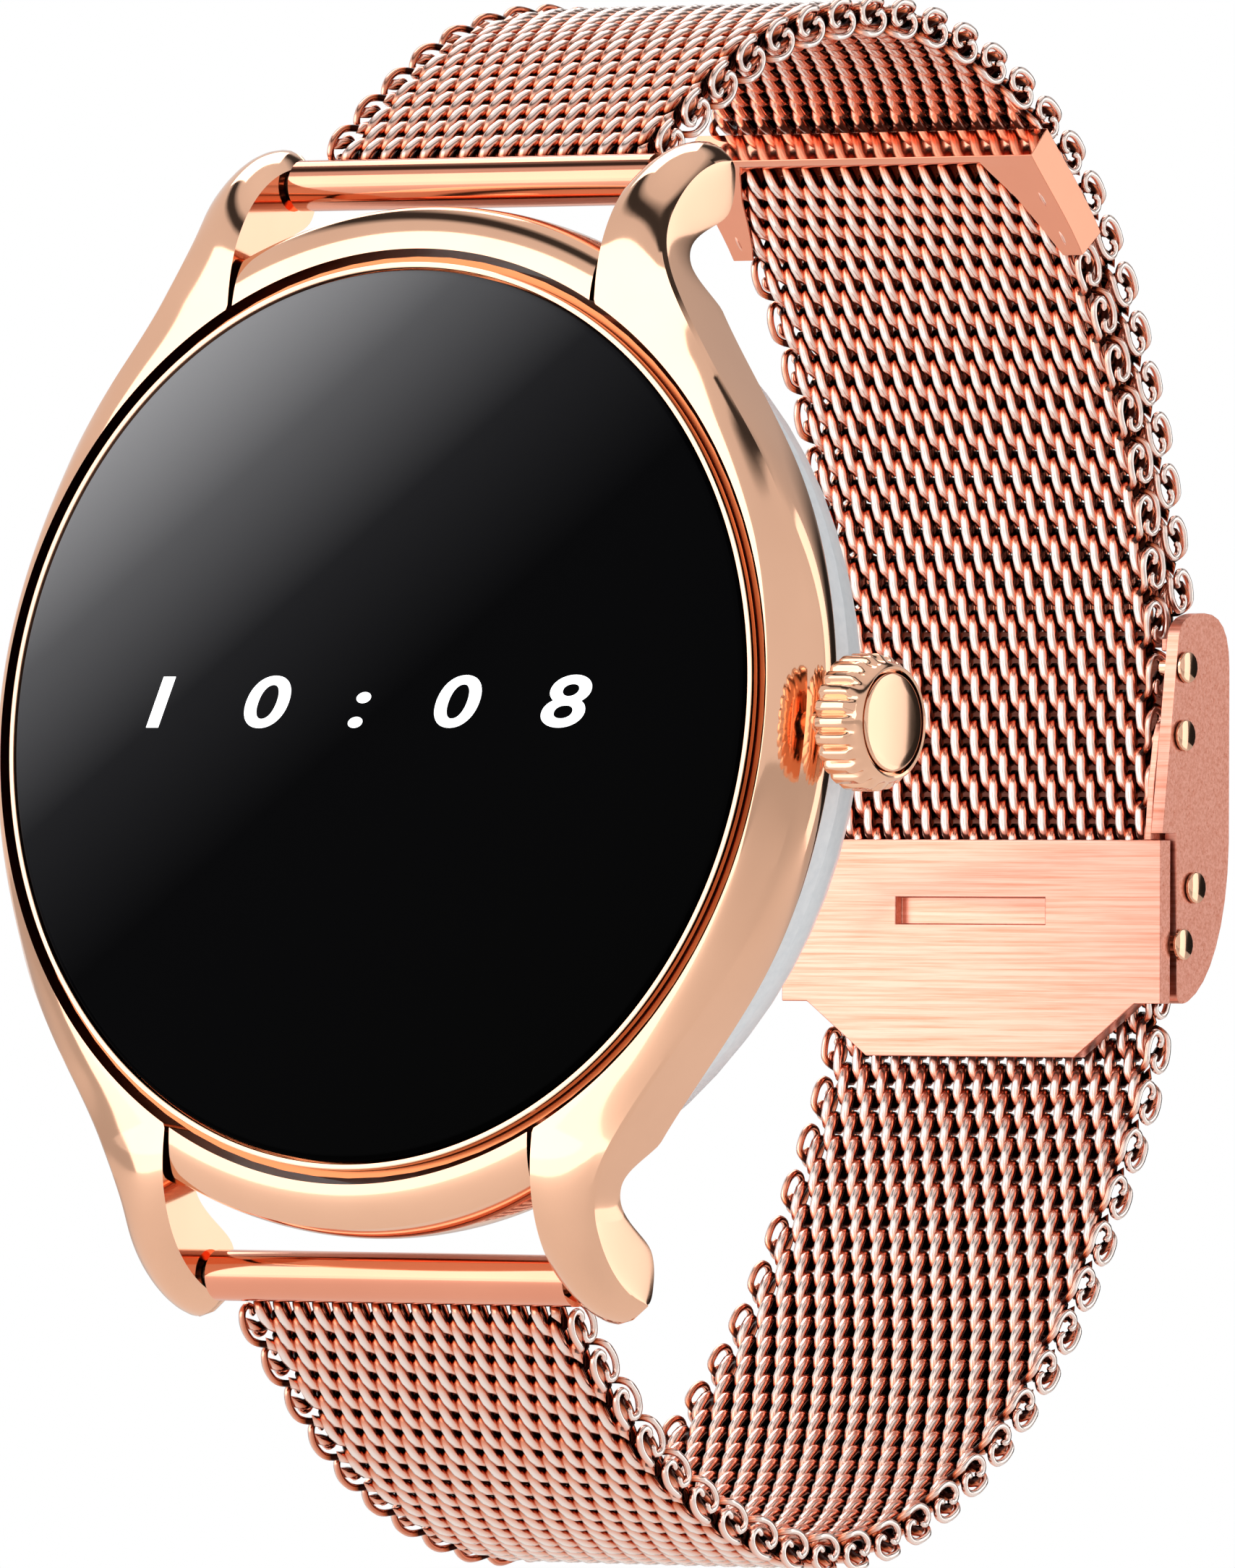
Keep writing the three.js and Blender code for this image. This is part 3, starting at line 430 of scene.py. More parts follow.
def tidy_mesh(piece: Piece, merge_mm: float = 0.002, crease: float = 32.0) -> None:
    """Merges doubled points, turns faces outwards, and shades smooth up to an angle.

    Args:
        piece: Object whose mesh is tidied.
        merge_mm: Points closer than this become one.
        crease: Edges sharper than this angle, in degrees, stay sharp.
    """
    shape = bmesh.new()
    shape.from_mesh(piece.data)
    bmesh.ops.remove_doubles(shape, verts=shape.verts, dist=merge_mm * MM)
    bmesh.ops.dissolve_degenerate(shape, edges=shape.edges, dist=merge_mm * MM / 2)
    bmesh.ops.recalc_face_normals(shape, faces=shape.faces)
    shape.to_mesh(piece.data)
    shape.free()
    shade(piece, crease)


def shade(piece: Piece, crease: float) -> None:
    """Shades a piece smooth, with edges sharper than the angle in degrees kept sharp."""
    count = len(piece.data.polygons)
    piece.data.polygons.foreach_set("use_smooth", np.ones(count, dtype=bool))
    piece.data.set_sharp_from_angle(angle=math.radians(crease))


def finish_piece(piece: Piece, body: str, finish: Finishes, *nodes: str) -> Piece:
    """Gives a new piece its finish, its body and the CAD nodes that it stands for.

    Args:
        piece: The finished object.
        body: CAD body that it moves with.
        finish: Its finish.
        nodes: CAD nodes that it replaces.

    Returns:
        The same object.
    """
    piece.data.materials.clear()
    piece.data.materials.append(PALETTE.get(finish))
    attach(piece, body)
    if nodes:
        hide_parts(*nodes)
    LOG.info("%s: %d faces on %s", piece.name, len(piece.data.polygons), body)
    return piece


def turned(name: str, profile: Array, facets: int = 192, axis: str = "y") -> Piece:
    """Surface of revolution: each [radius, height] point of a closed profile goes round a circle.

    Args:
        name: Name of the object.
        profile: Closed profile, with points at radius zero where it meets the axis.
        facets: Steps round the circle.
        axis: "y" for the dial's axis, or "x" for an axis along X through the origin.

    Returns:
        The object.
    """
    angle = np.linspace(0, 2 * math.pi, facets, endpoint=False)[:, None]
    radius, height = profile[:, 0][None, :], profile[:, 1][None, :]
    flat = np.broadcast_to(height, (facets, len(profile)))
    if axis == "y":
        points = np.stack([radius * np.cos(angle), flat, radius * np.sin(angle)], axis=-1)
    else:
        points = np.stack([flat, radius * np.cos(angle), radius * np.sin(angle)], axis=-1)
    piece = write_mesh(name, points.reshape(-1, 3), grid_faces(facets, len(profile), True, True))
    return piece


def curve_points(controls: Sequence[Point], count: int) -> Array:
    """Bezier curve of any order: the weighted mean of its controls with binomial weights.

    Args:
        controls: Control points.
        count: Number of points along the curve.

    Returns:
        Points at even steps of the parameter.
    """
    t = np.linspace(0, 1, count)[:, None]
    order = len(controls) - 1
    total = np.zeros((count, 2))
    for i, control in enumerate(controls):
        total += math.comb(order, i) * t**i * (1 - t) ** (order - i) * np.array(control)
    return total


def rounded_polygon(corners: Array, radii: Array, steps: int = 4) -> Array:
    """Closed outlines with each corner eased by a quadratic curve between points `radius` from it.

    Args:
        corners: Outlines, as an array of sections by corners by two.
        radii: Easing distance at each corner, broadcast over the sections.
        steps: Points on each eased corner.

    Returns:
        Sections by corners times steps by two.
    """
    before = np.roll(corners, 1, axis=1) - corners
    after = np.roll(corners, -1, axis=1) - corners
    long_before = np.linalg.norm(before, axis=-1, keepdims=True) + 1e-9
    long_after = np.linalg.norm(after, axis=-1, keepdims=True) + 1e-9
    reach = np.minimum(radii[..., None], 0.49 * np.minimum(long_before, long_after))
    start = corners + before / long_before * reach
    end = corners + after / long_after * reach
    t = np.linspace(0, 1, steps)[None, None, :, None]
    eased = (1 - t) ** 2 * start[:, :, None] + 2 * t * (1 - t) * corners[:, :, None] + t**2 * end[:, :, None]
    return eased.reshape(len(corners), -1, 2)


def along(points: Array, share: Array) -> Array:
    """Points at given shares of a polyline's length."""
    step = np.linalg.norm(np.diff(points, axis=0), axis=1)
    length = np.concatenate([[0], np.cumsum(step)])
    columns = [np.interp(share * length[-1], length, column) for column in points.T]
    return np.stack(columns, axis=-1)


def smooth_copy(
    node: str, finish: Finishes, body: str, bevel_mm: float = 0.0, crease: float = 32.0
) -> Piece:
    """Merged, bevelled and smooth-shaded copy of a CAD node, which it replaces.

    Args:
        node: CAD node to copy.
        finish: Finish of the copy.
        body: CAD body that it moves with.
        bevel_mm: Width of the eased edges, or zero for none.
        crease: Edges sharper than this angle, in degrees, count as edges.

    Returns:
        The new object.
    """
    piece = bpy.data.objects.new(node + "_fine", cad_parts[node].data.copy())
    bpy.context.scene.collection.objects.link(piece)
    shape = bmesh.new()
    shape.from_mesh(piece.data)
    bmesh.ops.remove_doubles(shape, verts=shape.verts, dist=0.0005 * MM)
    bmesh.ops.dissolve_limit(shape, angle_limit=math.radians(0.6), verts=shape.verts, edges=shape.edges)
    shape.to_mesh(piece.data)
    shape.free()
    if bevel_mm:
        eased = piece.modifiers.new("eased_edges", "BEVEL")
        eased.width = bevel_mm * MM
        eased.segments = 2
        eased.limit_method = "ANGLE"
        eased.angle_limit = math.radians(crease)
        eased.harden_normals = True
    shade(piece, crease + 8 if bevel_mm else crease)
    return finish_piece(piece, body, finish, node)


def dress(finish: Finishes, *nodes: str) -> None:
    """Gives carried-over CAD nodes a finish."""
    for node in nodes:
        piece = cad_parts[node]
        piece.data.materials.clear()
        piece.data.materials.append(PALETTE.get(finish))


# ---------------------------------------------------------------- case
@dataclass
class Case:
    """Polished case: two side rails that run out into the lugs, and an arc at top and bottom.

    Radii and plan sizes are from the dial's centre. `front`, `back`, the creases, `lug_back` and
    `roll_front` are depths along Y. A front face bows at `bend_across` of its width, by `bend_down`
    of its fall, and a wall swells by `flat_side`, `round_side` or `arc_side`. Sections crowd towards
    the lugs' tips by the power `crowding`, and the wall turns from round to flat over the shares of
    a rail's half that start at `ease_from`.
    """

    groove_radius: float = 20.05
    wall_radius: float = 21.45
    arc_radius: float = 22.1
    front: float = -9.75
    back: float = -6.15
    side_crease: float = -8.1
    lug_crease: float = -9.25
    lug_inner: float = 9.65
    lug_outer: float = 12.4
    lug_top: float = 24.86
    lug_back: float = -3.93
    arc_half: float = 9.4
    lug_root: float = 18.0
    tip_edge: float = -0.06
    tip_crown: float = 0.12
    chamfer: float = 0.16
    leave: float = math.radians(34)
    sections: int = 110
    crowding: float = 1.7
    ease_from: float = 0.12
    ease_over: float = 0.5
    most_swell: float = 0.3
    most_chamfer: float = 0.4
    arc_sections: int = 90
    front_steps: int = 10
    wall_steps: int = 14
    bend_across: float = 0.62
    bend_down: float = 0.12
    fullness: float = 0.8
    roll_front: float = -9.55
    crease_drop: float = 0.25
    flat_side: float = 0.03
    round_side: float = 0.25
    arc_side: float = 0.2
    crease: float = 24

    def front_line(self, z: Array) -> Array:
        """Depth of the front face at each height: level, then a Bezier roll over the lug's tip."""
        roll = self.wall_radius - 3
        controls = [
            (self.roll_front, roll),
            (self.roll_front + 0.1, roll + 3.9),
            (-7.0, self.lug_top - 0.25),
            (self.lug_back - 0.55, self.lug_top),
        ]
        curve = curve_points(controls, 60)
        return np.interp(z, curve[:, 1], curve[:, 0])

    def back_line(self, z: Array) -> Array:
        """Depth of the back at each height: the wall's edge, a neck, then the hooked tip."""
        neck_z, neck_y = self.wall_radius - 1.75, self.back - 1.2
        low, high, end = self.lug_top - 2.5, self.lug_top - 0.95, self.lug_back
        neck = [(self.back, neck_z - 1.9), (self.back - 0.45, neck_z - 1.2), (neck_y - 0.05, neck_z - 0.7)]
        under = [(neck_y + 0.25, neck_z + 1.5), (end - 0.95, low - 0.75)]
        joints = [(neck_y, neck_z), (end - 0.35, low), (end, high), (end - 0.55, self.lug_top)]
        spans = [
            curve_points([*neck, joints[0]], 20),
            curve_points([joints[0], *under, joints[1]], 30),
            curve_points([joints[1], (end + 0.05, low + 0.55), joints[2]], 16),
            curve_points([joints[2], (end, self.lug_top), joints[3]], 16),
        ]
        line = np.concatenate([spans[0], *(span[1:] for span in spans[1:])])
        return np.interp(z, line[:, 1], line[:, 0])

    def inner_plan(self) -> Array:
        """Inner edge in plan: the groove's circle, then straight up the lug's inner face."""
        end = math.acos(self.lug_inner / self.groove_radius)
        angle = np.linspace(0, end, 80)
        arc = self.groove_radius * np.stack([np.cos(angle), np.sin(angle)], axis=-1)
        return np.concatenate([arc, [[self.lug_inner, self.lug_top]]])

    def outer_plan(self) -> Array:
        """Outer edge in plan: the wall's circle, a Bezier sweep, then straight up the lug."""
        angle = np.linspace(0, self.leave, 50)
        arc = self.wall_radius * np.stack([np.cos(angle), np.sin(angle)], axis=-1)
        x, z = arc[-1]
        sweep = curve_points(
            [
                (x, z),
                (x - 5 * math.sin(self.leave), z + 5 * math.cos(self.leave)),
                (self.lug_outer, self.lug_top - 6),
                (self.lug_outer, self.lug_top - 3),
            ],
            50,
        )
        return np.concatenate([arc, sweep[1:], [[self.lug_outer, self.lug_top]]])

    def section(
        self, plan_in: Array, plan_out: Array, fronts: Array, creases: Array, backs: Array, barrel: Array
    ) -> Array:
        """Closed sections between an inner and an outer edge.

        Each section runs over a crowned front face to a crease, down a barrel-shaped wall, and
        back along the rear and inner faces.

        Args:
            plan_in: Inner edge points, in plan.
            plan_out: Outer edge points, in plan.
            fronts: Depth of the front face at the inner edge.
            creases: Depth of the crease at the outer edge.
            backs: Depth of the back at the inner and outer edges, as two columns.
            barrel: How far the wall swells between its edges.

        Returns:
            Sections by points by three.
        """
        width = np.linalg.norm(plan_out - plan_in, axis=1)
        depth = np.clip(backs[:, 1] - creases, 0, None)
        front_t = np.linspace(0, 1, self.front_steps)[None, :]
        inset = np.minimum(barrel, self.most_swell * depth)
        cut = np.minimum(self.chamfer, self.most_chamfer * depth)
        crease_x = width - inset - cut
        bend_x, bend_y = self.bend_across * crease_x, fronts + self.bend_down * (creases - fronts)
        fx = 2 * front_t * (1 - front_t) * bend_x[:, None] + front_t**2 * crease_x[:, None]
        fy = (
            (1 - front_t) ** 2 * fronts[:, None]
            + 2 * front_t * (1 - front_t) * bend_y[:, None]
            + front_t**2 * creases[:, None]
        )
        wall_t = np.linspace(0, 1, self.wall_steps)[None, :]
        bulge = 4 * wall_t * (1 - wall_t)
        wall_x, wall_y = width - inset, creases + cut
        wx = wall_x[:, None] + inset[:, None] * bulge**self.fullness
        wy = wall_y[:, None] + (depth - cut)[:, None] * wall_t
        back_t = np.linspace(0, 1, 5)[None, 1:]
        bx = wall_x[:, None] * (1 - back_t)
        by = backs[:, 1:2] + (backs[:, 0:1] - backs[:, 1:2]) * back_t
        inner_t = np.linspace(0, 1, 6)[None, 1:-1]
        ix = np.zeros((len(width), inner_t.shape[1]))
        iy = backs[:, 0:1] + (fronts[:, None] - backs[:, 0:1]) * inner_t
        lateral = np.concatenate([fx, wx, bx, ix], axis=1)
        height = np.concatenate([fy, wy, by, iy], axis=1)
        share = lateral / np.maximum(width[:, None], 1e-6)
        plan = plan_in[:, None] + share[..., None] * (plan_out - plan_in)[:, None]
        return np.stack([plan[..., 0], height, plan[..., 1]], axis=-1)

    def crowned(self, grid: Array, inner: Array, outer: Array) -> Array:
        """Rounds the lug's end in plan: heights past the root stretch in the middle, shrink at the edges.

        The stretch is a parabola of the share of the width, from `tip_edge` to `tip_edge + tip_crown`.

        Args:
            grid: Sections by points by three.
            inner: Inner edge in plan.
            outer: Outer edge in plan.

        Returns:
            The changed grid.
        """
        width = np.linalg.norm(outer - inner, axis=1)[:, None]
        share = np.linalg.norm(grid[..., [0, 2]] - inner[:, None], axis=-1) / width
        stretch = self.tip_edge + self.tip_crown * (1 - (2 * share - 1) ** 2)
        past = np.clip(grid[..., 2] - self.lug_root, 0, None)
        raised = grid.copy()
        raised[..., 2] += past * stretch * np.clip(past / 3, 0, 1)
        return raised

    def skin(self, grid: Array, node: str) -> Piece:
        """Closes sections into one skin with flat ends, which stands for a CAD node."""
        rows, count = grid.shape[:2]
        ends = [list(range(count)), list(range((rows - 1) * count, rows * count))]
        faces = grid_faces(rows, count, False, True)
        piece = write_mesh(f"{node}_fine", grid.reshape(-1, 3), faces, ends)
        tidy_mesh(piece, crease=self.crease)
        return finish_piece(piece, "head", Finishes.CASE, node)

    def rail(self, side: int) -> Piece:
        """One side rail with its two lugs, as sections from the lower tip to the upper tip."""
        half = 1 - (1 - np.linspace(0, 1, self.sections)) ** self.crowding
        inner, outer = along(self.inner_plan(), half), along(self.outer_plan(), half)
        eased = np.clip((half - self.ease_from) / self.ease_over, 0, 1)
        eased = eased * eased * (3 - 2 * eased)
        line_in, line_out = self.front_line(inner[:, 1]), self.front_line(outer[:, 1])
        fronts = line_in + self.front - self.roll_front
        lifted = self.roll_front + self.crease_drop
        creases = line_out + self.crease_drop + (1 - eased) * (self.side_crease - lifted)
        backs = np.stack([self.back_line(inner[:, 1]), self.back_line(outer[:, 1])], axis=1)
        backs = np.maximum(backs, np.stack([fronts, creases], axis=1) + 0.01)
        barrel = self.flat_side + self.round_side * (1 - eased)
        upper = self.crowned(self.section(inner, outer, fronts, creases, backs, barrel), inner, outer)
        lower = upper[::-1] * np.array([1, 1, -1])
        grid = np.concatenate([lower[:-1], upper]) * np.array([side, 1, 1])
        return self.skin(grid, "side_rail_right" if side > 0 else "side_rail_left")

    def arc(self, end: int) -> Piece:
        """The case's arc at twelve or six o'clock, as sections at even steps across it."""
        x = np.linspace(-self.arc_half, self.arc_half, self.arc_sections)
        inner = np.stack([x, np.sqrt(self.groove_radius**2 - x**2)], axis=1)
        outer = np.stack([x, np.sqrt(self.arc_radius**2 - x**2)], axis=1)
        even = np.ones(len(x))
        backs = np.stack([even * self.back, even * self.back], axis=1)
        level = (even * self.front, even * self.lug_crease, backs, even * self.arc_side)
        grid = self.section(inner, outer, *level)
        return self.skin(grid * np.array([1, 1, end]), "bezel_arc_top" if end > 0 else "bezel_arc_bottom")

    def rim(self) -> Piece:
        """Bright ring round the glass: an eased rectangle turned about the dial's axis."""
        corners = np.array([[[19.2, -9.95], [19.45, -9.95], [19.45, -9.5], [19.2, -9.5]]])
        profile = rounded_polygon(corners, np.full((1, 4), 0.07))[0]
        piece = turned("glass_rim_fine", profile, 256)
        tidy_mesh(piece)
        return finish_piece(piece, "head", Finishes.CASE, "glass_rim")

    def build(self) -> None:
        """Builds the case."""
        for side in (1, -1):
            self.rail(side)
            self.arc(side)
        self.rim()
        # The midframe gets the case plating darkened, as painted shade down the groove.
        smooth_copy("midframe", Finishes.GROOVE_PAINTED_SHADE, "head")


# ---------------------------------------------------------------- glass and display
@dataclass
class Dial:
    """Flat cover glass with an eased edge, and the time shown under it."""

    radius: float = 19.1
    front: float = -10.0
    thickness: float = 1.0
    numeral_height: float = 2.25
    numeral_width: float = 23.3
    numeral_centre: Point = (-0.4, 0.55)
    numeral_slant: float = 0.22
    numeral_spacing: float = 2.4
    numeral_relief: float = 0.004
    numeral_weight: float = 0.018
    numeral_gap: float = 0.012

    def glass(self) -> Piece:
        """Cover glass: a disc whose front edge is a quarter ellipse."""
        edge = np.linspace(0, math.pi / 2, 8)
        ease_r, ease_y = 0.35, 0.16
        round_over = np.stack(
            [self.radius - ease_r + ease_r * np.sin(edge), self.front + ease_y * (1 - np.cos(edge))], axis=-1
        )
        rear = self.front + self.thickness
        flat = [[radius, self.front] for radius in (0, 9, 15)]
        profile = np.concatenate([flat, round_over, [[self.radius, rear], [0, rear]]])
        piece = turned("cover_glass_fine", profile, 256)
        tidy_mesh(piece)
        return finish_piece(piece, "head", Finishes.GLASS, "cover_glass")

    def numerals(self) -> Piece:
        """Time in plain slanted numerals, a thin raised print on the display."""
        curve = bpy.data.curves.new("time_numerals", "FONT")
        curve.body = "10:08"
        curve.align_x = "CENTER"
        curve.align_y = "CENTER"
        curve.shear = self.numeral_slant
        curve.space_character = self.numeral_spacing
        curve.extrude = self.numeral_relief
        curve.offset = self.numeral_weight
        text = bpy.data.objects.new("time_numerals", curve)
        bpy.context.scene.collection.objects.link(text)
        bpy.context.view_layer.update()
        mesh = bpy.data.meshes.new_from_object(text)
        bpy.data.objects.remove(text)
        points = np.empty(len(mesh.vertices) * 3)
        mesh.vertices.foreach_get("co", points)
        points = points.reshape(-1, 3)
        low, high = points.min(0), points.max(0)
        middle = (low + high) / 2
        scale = self.numeral_height / (high[1] - low[1])
        wide = self.numeral_width / (high[0] - low[0])
        x = self.numeral_centre[0] + (points[:, 0] - middle[0]) * wide
        z = self.numeral_centre[1] + (points[:, 1] - middle[1]) * scale
        y = self.front - self.numeral_gap - (points[:, 2] - low[2]) * scale
        mesh.vertices.foreach_set("co", (np.stack([x, y, z], axis=1) * MM).ravel())
        piece = bpy.data.objects.new("time_numerals", mesh)
        bpy.context.scene.collection.objects.link(piece)
        tidy_mesh(piece, merge_mm=0.0005)
        return finish_piece(piece, "head", Finishes.INK)

    def build(self) -> None:
        """Builds the glass and the numerals, and dresses the display stack."""
        self.glass()
        self.numerals()
        dress(Finishes.RUBBER, "glass_gasket", "back_gasket", "crown_seal")
        dress(Finishes.PANEL, "display_panel")
        dress(Finishes.BRACKET, "display_bracket")


# ---------------------------------------------------------------- back and electronics
@dataclass
class Back:
    """White back shell with its window, screws and contacts, and what lies inside."""

    window_radius: float = 9.7
    window_thickness: float = 1.1
    lip: float = 0.3

    def window(self) -> Piece:
        """Sensor window: a flat disc with an eased rim."""
        edge = np.linspace(0, math.pi / 2, 8)
        flat = self.window_radius - self.lip
        round_over = np.stack([flat + self.lip * np.cos(edge), self.lip * (np.sin(edge) - 1)], axis=-1)
        rear = [[0, -self.window_thickness], [self.window_radius, -self.window_thickness]]
        profile = np.concatenate([rear, round_over, [[0, 0]]])
        piece = turned("sensor_window_fine", profile, 160)
        tidy_mesh(piece)
        return finish_piece(piece, "head", Finishes.SENSOR, "sensor_window")

    def build(self) -> None:
        """Builds the window and dresses the rest."""
        self.window()
        smooth_copy("back_shell", Finishes.SHELL, "head")
        for i in range(1, 5):
            smooth_copy(f"back_screw_{i}", Finishes.STEEL, "head", 0.04)
        for i in (1, 2):
            smooth_copy(f"charge_contact_{i}", Finishes.CONTACT, "head", 0.06)
        dress(Finishes.BOARD, "sensor_board", "main_board")
        dress(Finishes.CELL, "battery")
        dress(Finishes.STEEL, "vibration_motor", "microphone", "stem_clip")
        dress(Finishes.PLASTIC, "speaker", "side_switch", "switch_plunger")
        dress(Finishes.CONTACT, "encoder_wheel")


# ---------------------------------------------------------------- crown
@dataclass
class Crown:
    """Knurled crown with a polished cap, on its stem and tube."""

    depth: float = -7.2
    inner: float = 22.6
    length: float = 2.3
    radius: float = 2.9
    teeth: int = 24
    bite: float = 0.26
    cap_inset: float = 0.8
    cap_ease: Point = (0.12, 0.14)
    cap_rise: float = 0.1
    cap_depth: float = 0.35

    def ring(self) -> Piece:
        """Knurled wheel: a turned profile whose radius dips by a narrow groove at each tooth.

        The dip is the bite times a raised cosine of the tooth angle to the third power, faded
        out towards both faces.
        """
        x0, x1, r = self.inner, self.inner + self.length, self.radius
        back = [[x0, 0.5, 0], [x0, 1.4, 0], [x0, r - 0.45, 0.2], [x0 + 0.12, r - 0.12, 0.8]]
        grip = [[x0 + 0.3, r, 1], [x0 + 0.8, r, 1], [x1 - 1.0, r, 1], [x1 - 0.75, r - 0.02, 1]]
        front = [[x1 - 0.6, r - 0.12, 0.7], [x1 - 0.45, r - 0.28, 0.2], [x1 - 0.25, r - 0.38, 0]]
        lip = [[x1 - 0.08, r - 0.46, 0], [x1, r - 0.56, 0], [x1 - 0.04, r - 0.66, 0]]
        dish = [[x1 - 0.45, r - 0.7, 0], [x1 - 0.45, 0.8, 0], [x1 - 0.45, 0, 0]]
        bore = [[x1 - 0.8, 0, 0], [x1 - 0.8, 0.5, 0]]
        profile = np.array(back + grip + front + lip + dish + bore)
        angle = np.linspace(0, 2 * math.pi, self.teeth * 12, endpoint=False)
        groove = (0.5 + 0.5 * np.cos(self.teeth * angle)) ** 3
        radius = profile[None, :, 1] - self.bite * groove[:, None] * profile[None, :, 2]
        x = np.broadcast_to(profile[None, :, 0], radius.shape)
        y = self.depth + radius * np.cos(angle)[:, None]
        z = radius * np.sin(angle)[:, None]
        points = np.stack([x, y, z], axis=-1)
        faces = grid_faces(len(angle), len(profile), True, True)
        piece = write_mesh("crown_ring_fine", points.reshape(-1, 3), faces)
        tidy_mesh(piece, crease=45)
        return finish_piece(piece, "crown", Finishes.CASE, "crown_ring")

    def cap(self) -> Piece:
        """Cap: a shallow dome, flat at the back, with an eased edge."""
        x1, r = self.inner + self.length, self.radius - self.cap_inset
        ease_x, ease_r = self.cap_ease
        edge = np.linspace(0, math.pi / 2, 6)
        round_over = np.stack([x1 + ease_x * (np.sin(edge) - 1), r + ease_r * (np.cos(edge) - 1)], axis=-1)
        dome_r = np.linspace(r - 0.3, 0, 8)
        dome = np.stack([x1 + self.cap_rise * (1 - (dome_r / r) ** 2), dome_r], axis=-1)
        rear = x1 - self.cap_depth
        half = np.concatenate([[[rear, 0], [rear, r]], round_over, dome])
        piece = turned("crown_cap_fine", half[:, ::-1], 96, "x")
        piece.data.transform(Matrix.Translation(Vector((0, self.depth * MM, 0))))
        tidy_mesh(piece, crease=40)
        return finish_piece(piece, "crown", Finishes.CASE, "crown_cap")

    def build(self) -> None:
        """Builds the crown."""
        self.ring()
        self.cap()
        smooth_copy("crown_tube", Finishes.CASE, "head")
        smooth_copy("crown_stem", Finishes.STEEL, "crown")


# ---------------------------------------------------------------- strap
def spline(knots: Sequence[Point], steps: int = 60) -> Array:
    """Centripetal Catmull-Rom curve through its knots.

    Each span is the cubic Hermite curve whose end slopes weigh the neighbouring spans by the
    square root of their lengths.

    Args:
        knots: Points that the curve passes through.
        steps: Points on each span.

    Returns:
        Points along the curve.
    """
    p = np.array(knots, dtype=float)
    p = np.concatenate([[2 * p[0] - p[1]], p, [2 * p[-1] - p[-2]]])
    spans = []
    for i in range(1, len(p) - 2):
        d = np.sqrt(np.linalg.norm(np.diff(p[i - 1 : i + 3], axis=0), axis=1))
        m1 = (p[i] - p[i - 1]) / d[0] - (p[i + 1] - p[i - 1]) / (d[0] + d[1]) + (p[i + 1] - p[i]) / d[1]
        m2 = (p[i + 1] - p[i]) / d[1] - (p[i + 2] - p[i]) / (d[1] + d[2]) + (p[i + 2] - p[i + 1]) / d[2]
        m1, m2 = m1 * d[1], m2 * d[1]
        t = np.linspace(0, 1, steps, endpoint=False)[:, None]
        a = 2 * p[i] - 2 * p[i + 1] + m1 + m2
        b = -3 * p[i] + 3 * p[i + 1] - 2 * m1 - m2
        spans.append(p[i] + m1 * t + b * t**2 + a * t**3)
    return np.concatenate([*spans, p[-2][None]])


@dataclass
class Route:
    """Centre line of a strap in the [y, z] plane, with arc length and outward normals."""

    knots: Sequence[Point]
    outward: int
    line: Array = field(init=False)
    length: Array = field(init=False)
    normal: Array = field(init=False)

    def __post_init__(self) -> None:
        """Samples the curve and works out its lengths and normals."""
        self.line = spline(self.knots)
        step = np.linalg.norm(np.diff(self.line, axis=0), axis=1)
        self.length = np.concatenate([[0], np.cumsum(step)])
        tangent = np.gradient(self.line, axis=0)
        tangent /= np.linalg.norm(tangent, axis=1, keepdims=True)
        self.normal = self.outward * np.stack([-tangent[:, 1], tangent[:, 0]], axis=1)

    def out(self, v: Array) -> Array:
        """Outward normals at `v` along the strap, as vectors."""
        outs = [np.interp(v, self.length, self.normal[:, i]) for i in (0, 1)]
        return np.stack([np.zeros_like(v), *outs], axis=-1)

    def place(self, x: Array, v: Array, n: Array) -> Array:
        """Points at `x` across the strap, `v` along it and `n` out of its centre line."""
        line = [np.interp(v, self.length, self.line[:, i]) for i in (0, 1)]
        return np.stack([x, *line], axis=-1) + n[..., None] * self.out(v)


def tube(path: Array, radius: Array, sides: int) -> tuple[Array, Array, Array]:
    """Round tubes along many paths at once.

    The ring at each path point lies in the plane across the path; its first direction is
    square to both the path and X.

    Args:
        path: Paths, as tubes by points by three.
        radius: Tube radius at each point, broadcast over the tubes.
        sides: Points round each ring.

    Returns:
        All points, the quads between them, and each point's offset from its path.
    """
    tangent = np.gradient(path, axis=1)
    tangent /= np.linalg.norm(tangent, axis=-1, keepdims=True) + 1e-12
    first = np.cross(np.array([1.0, 0, 0]), tangent)
    first /= np.linalg.norm(first, axis=-1, keepdims=True) + 1e-12
    second = np.cross(tangent, first)
    angle = np.linspace(0, 2 * math.pi, sides, endpoint=False)[None, None, :, None]
    size = np.broadcast_to(radius, path.shape[:2])[..., None, None]
    offset = size * (np.cos(angle) * first[:, :, None] + np.sin(angle) * second[:, :, None])
    rings = path[:, :, None] + offset
    one = grid_faces(path.shape[1], sides, False, True)
    shift = np.arange(path.shape[0])[:, None, None] * path.shape[1] * sides
    return rings.reshape(-1, 3), (one[None] + shift).reshape(-1, 4), offset


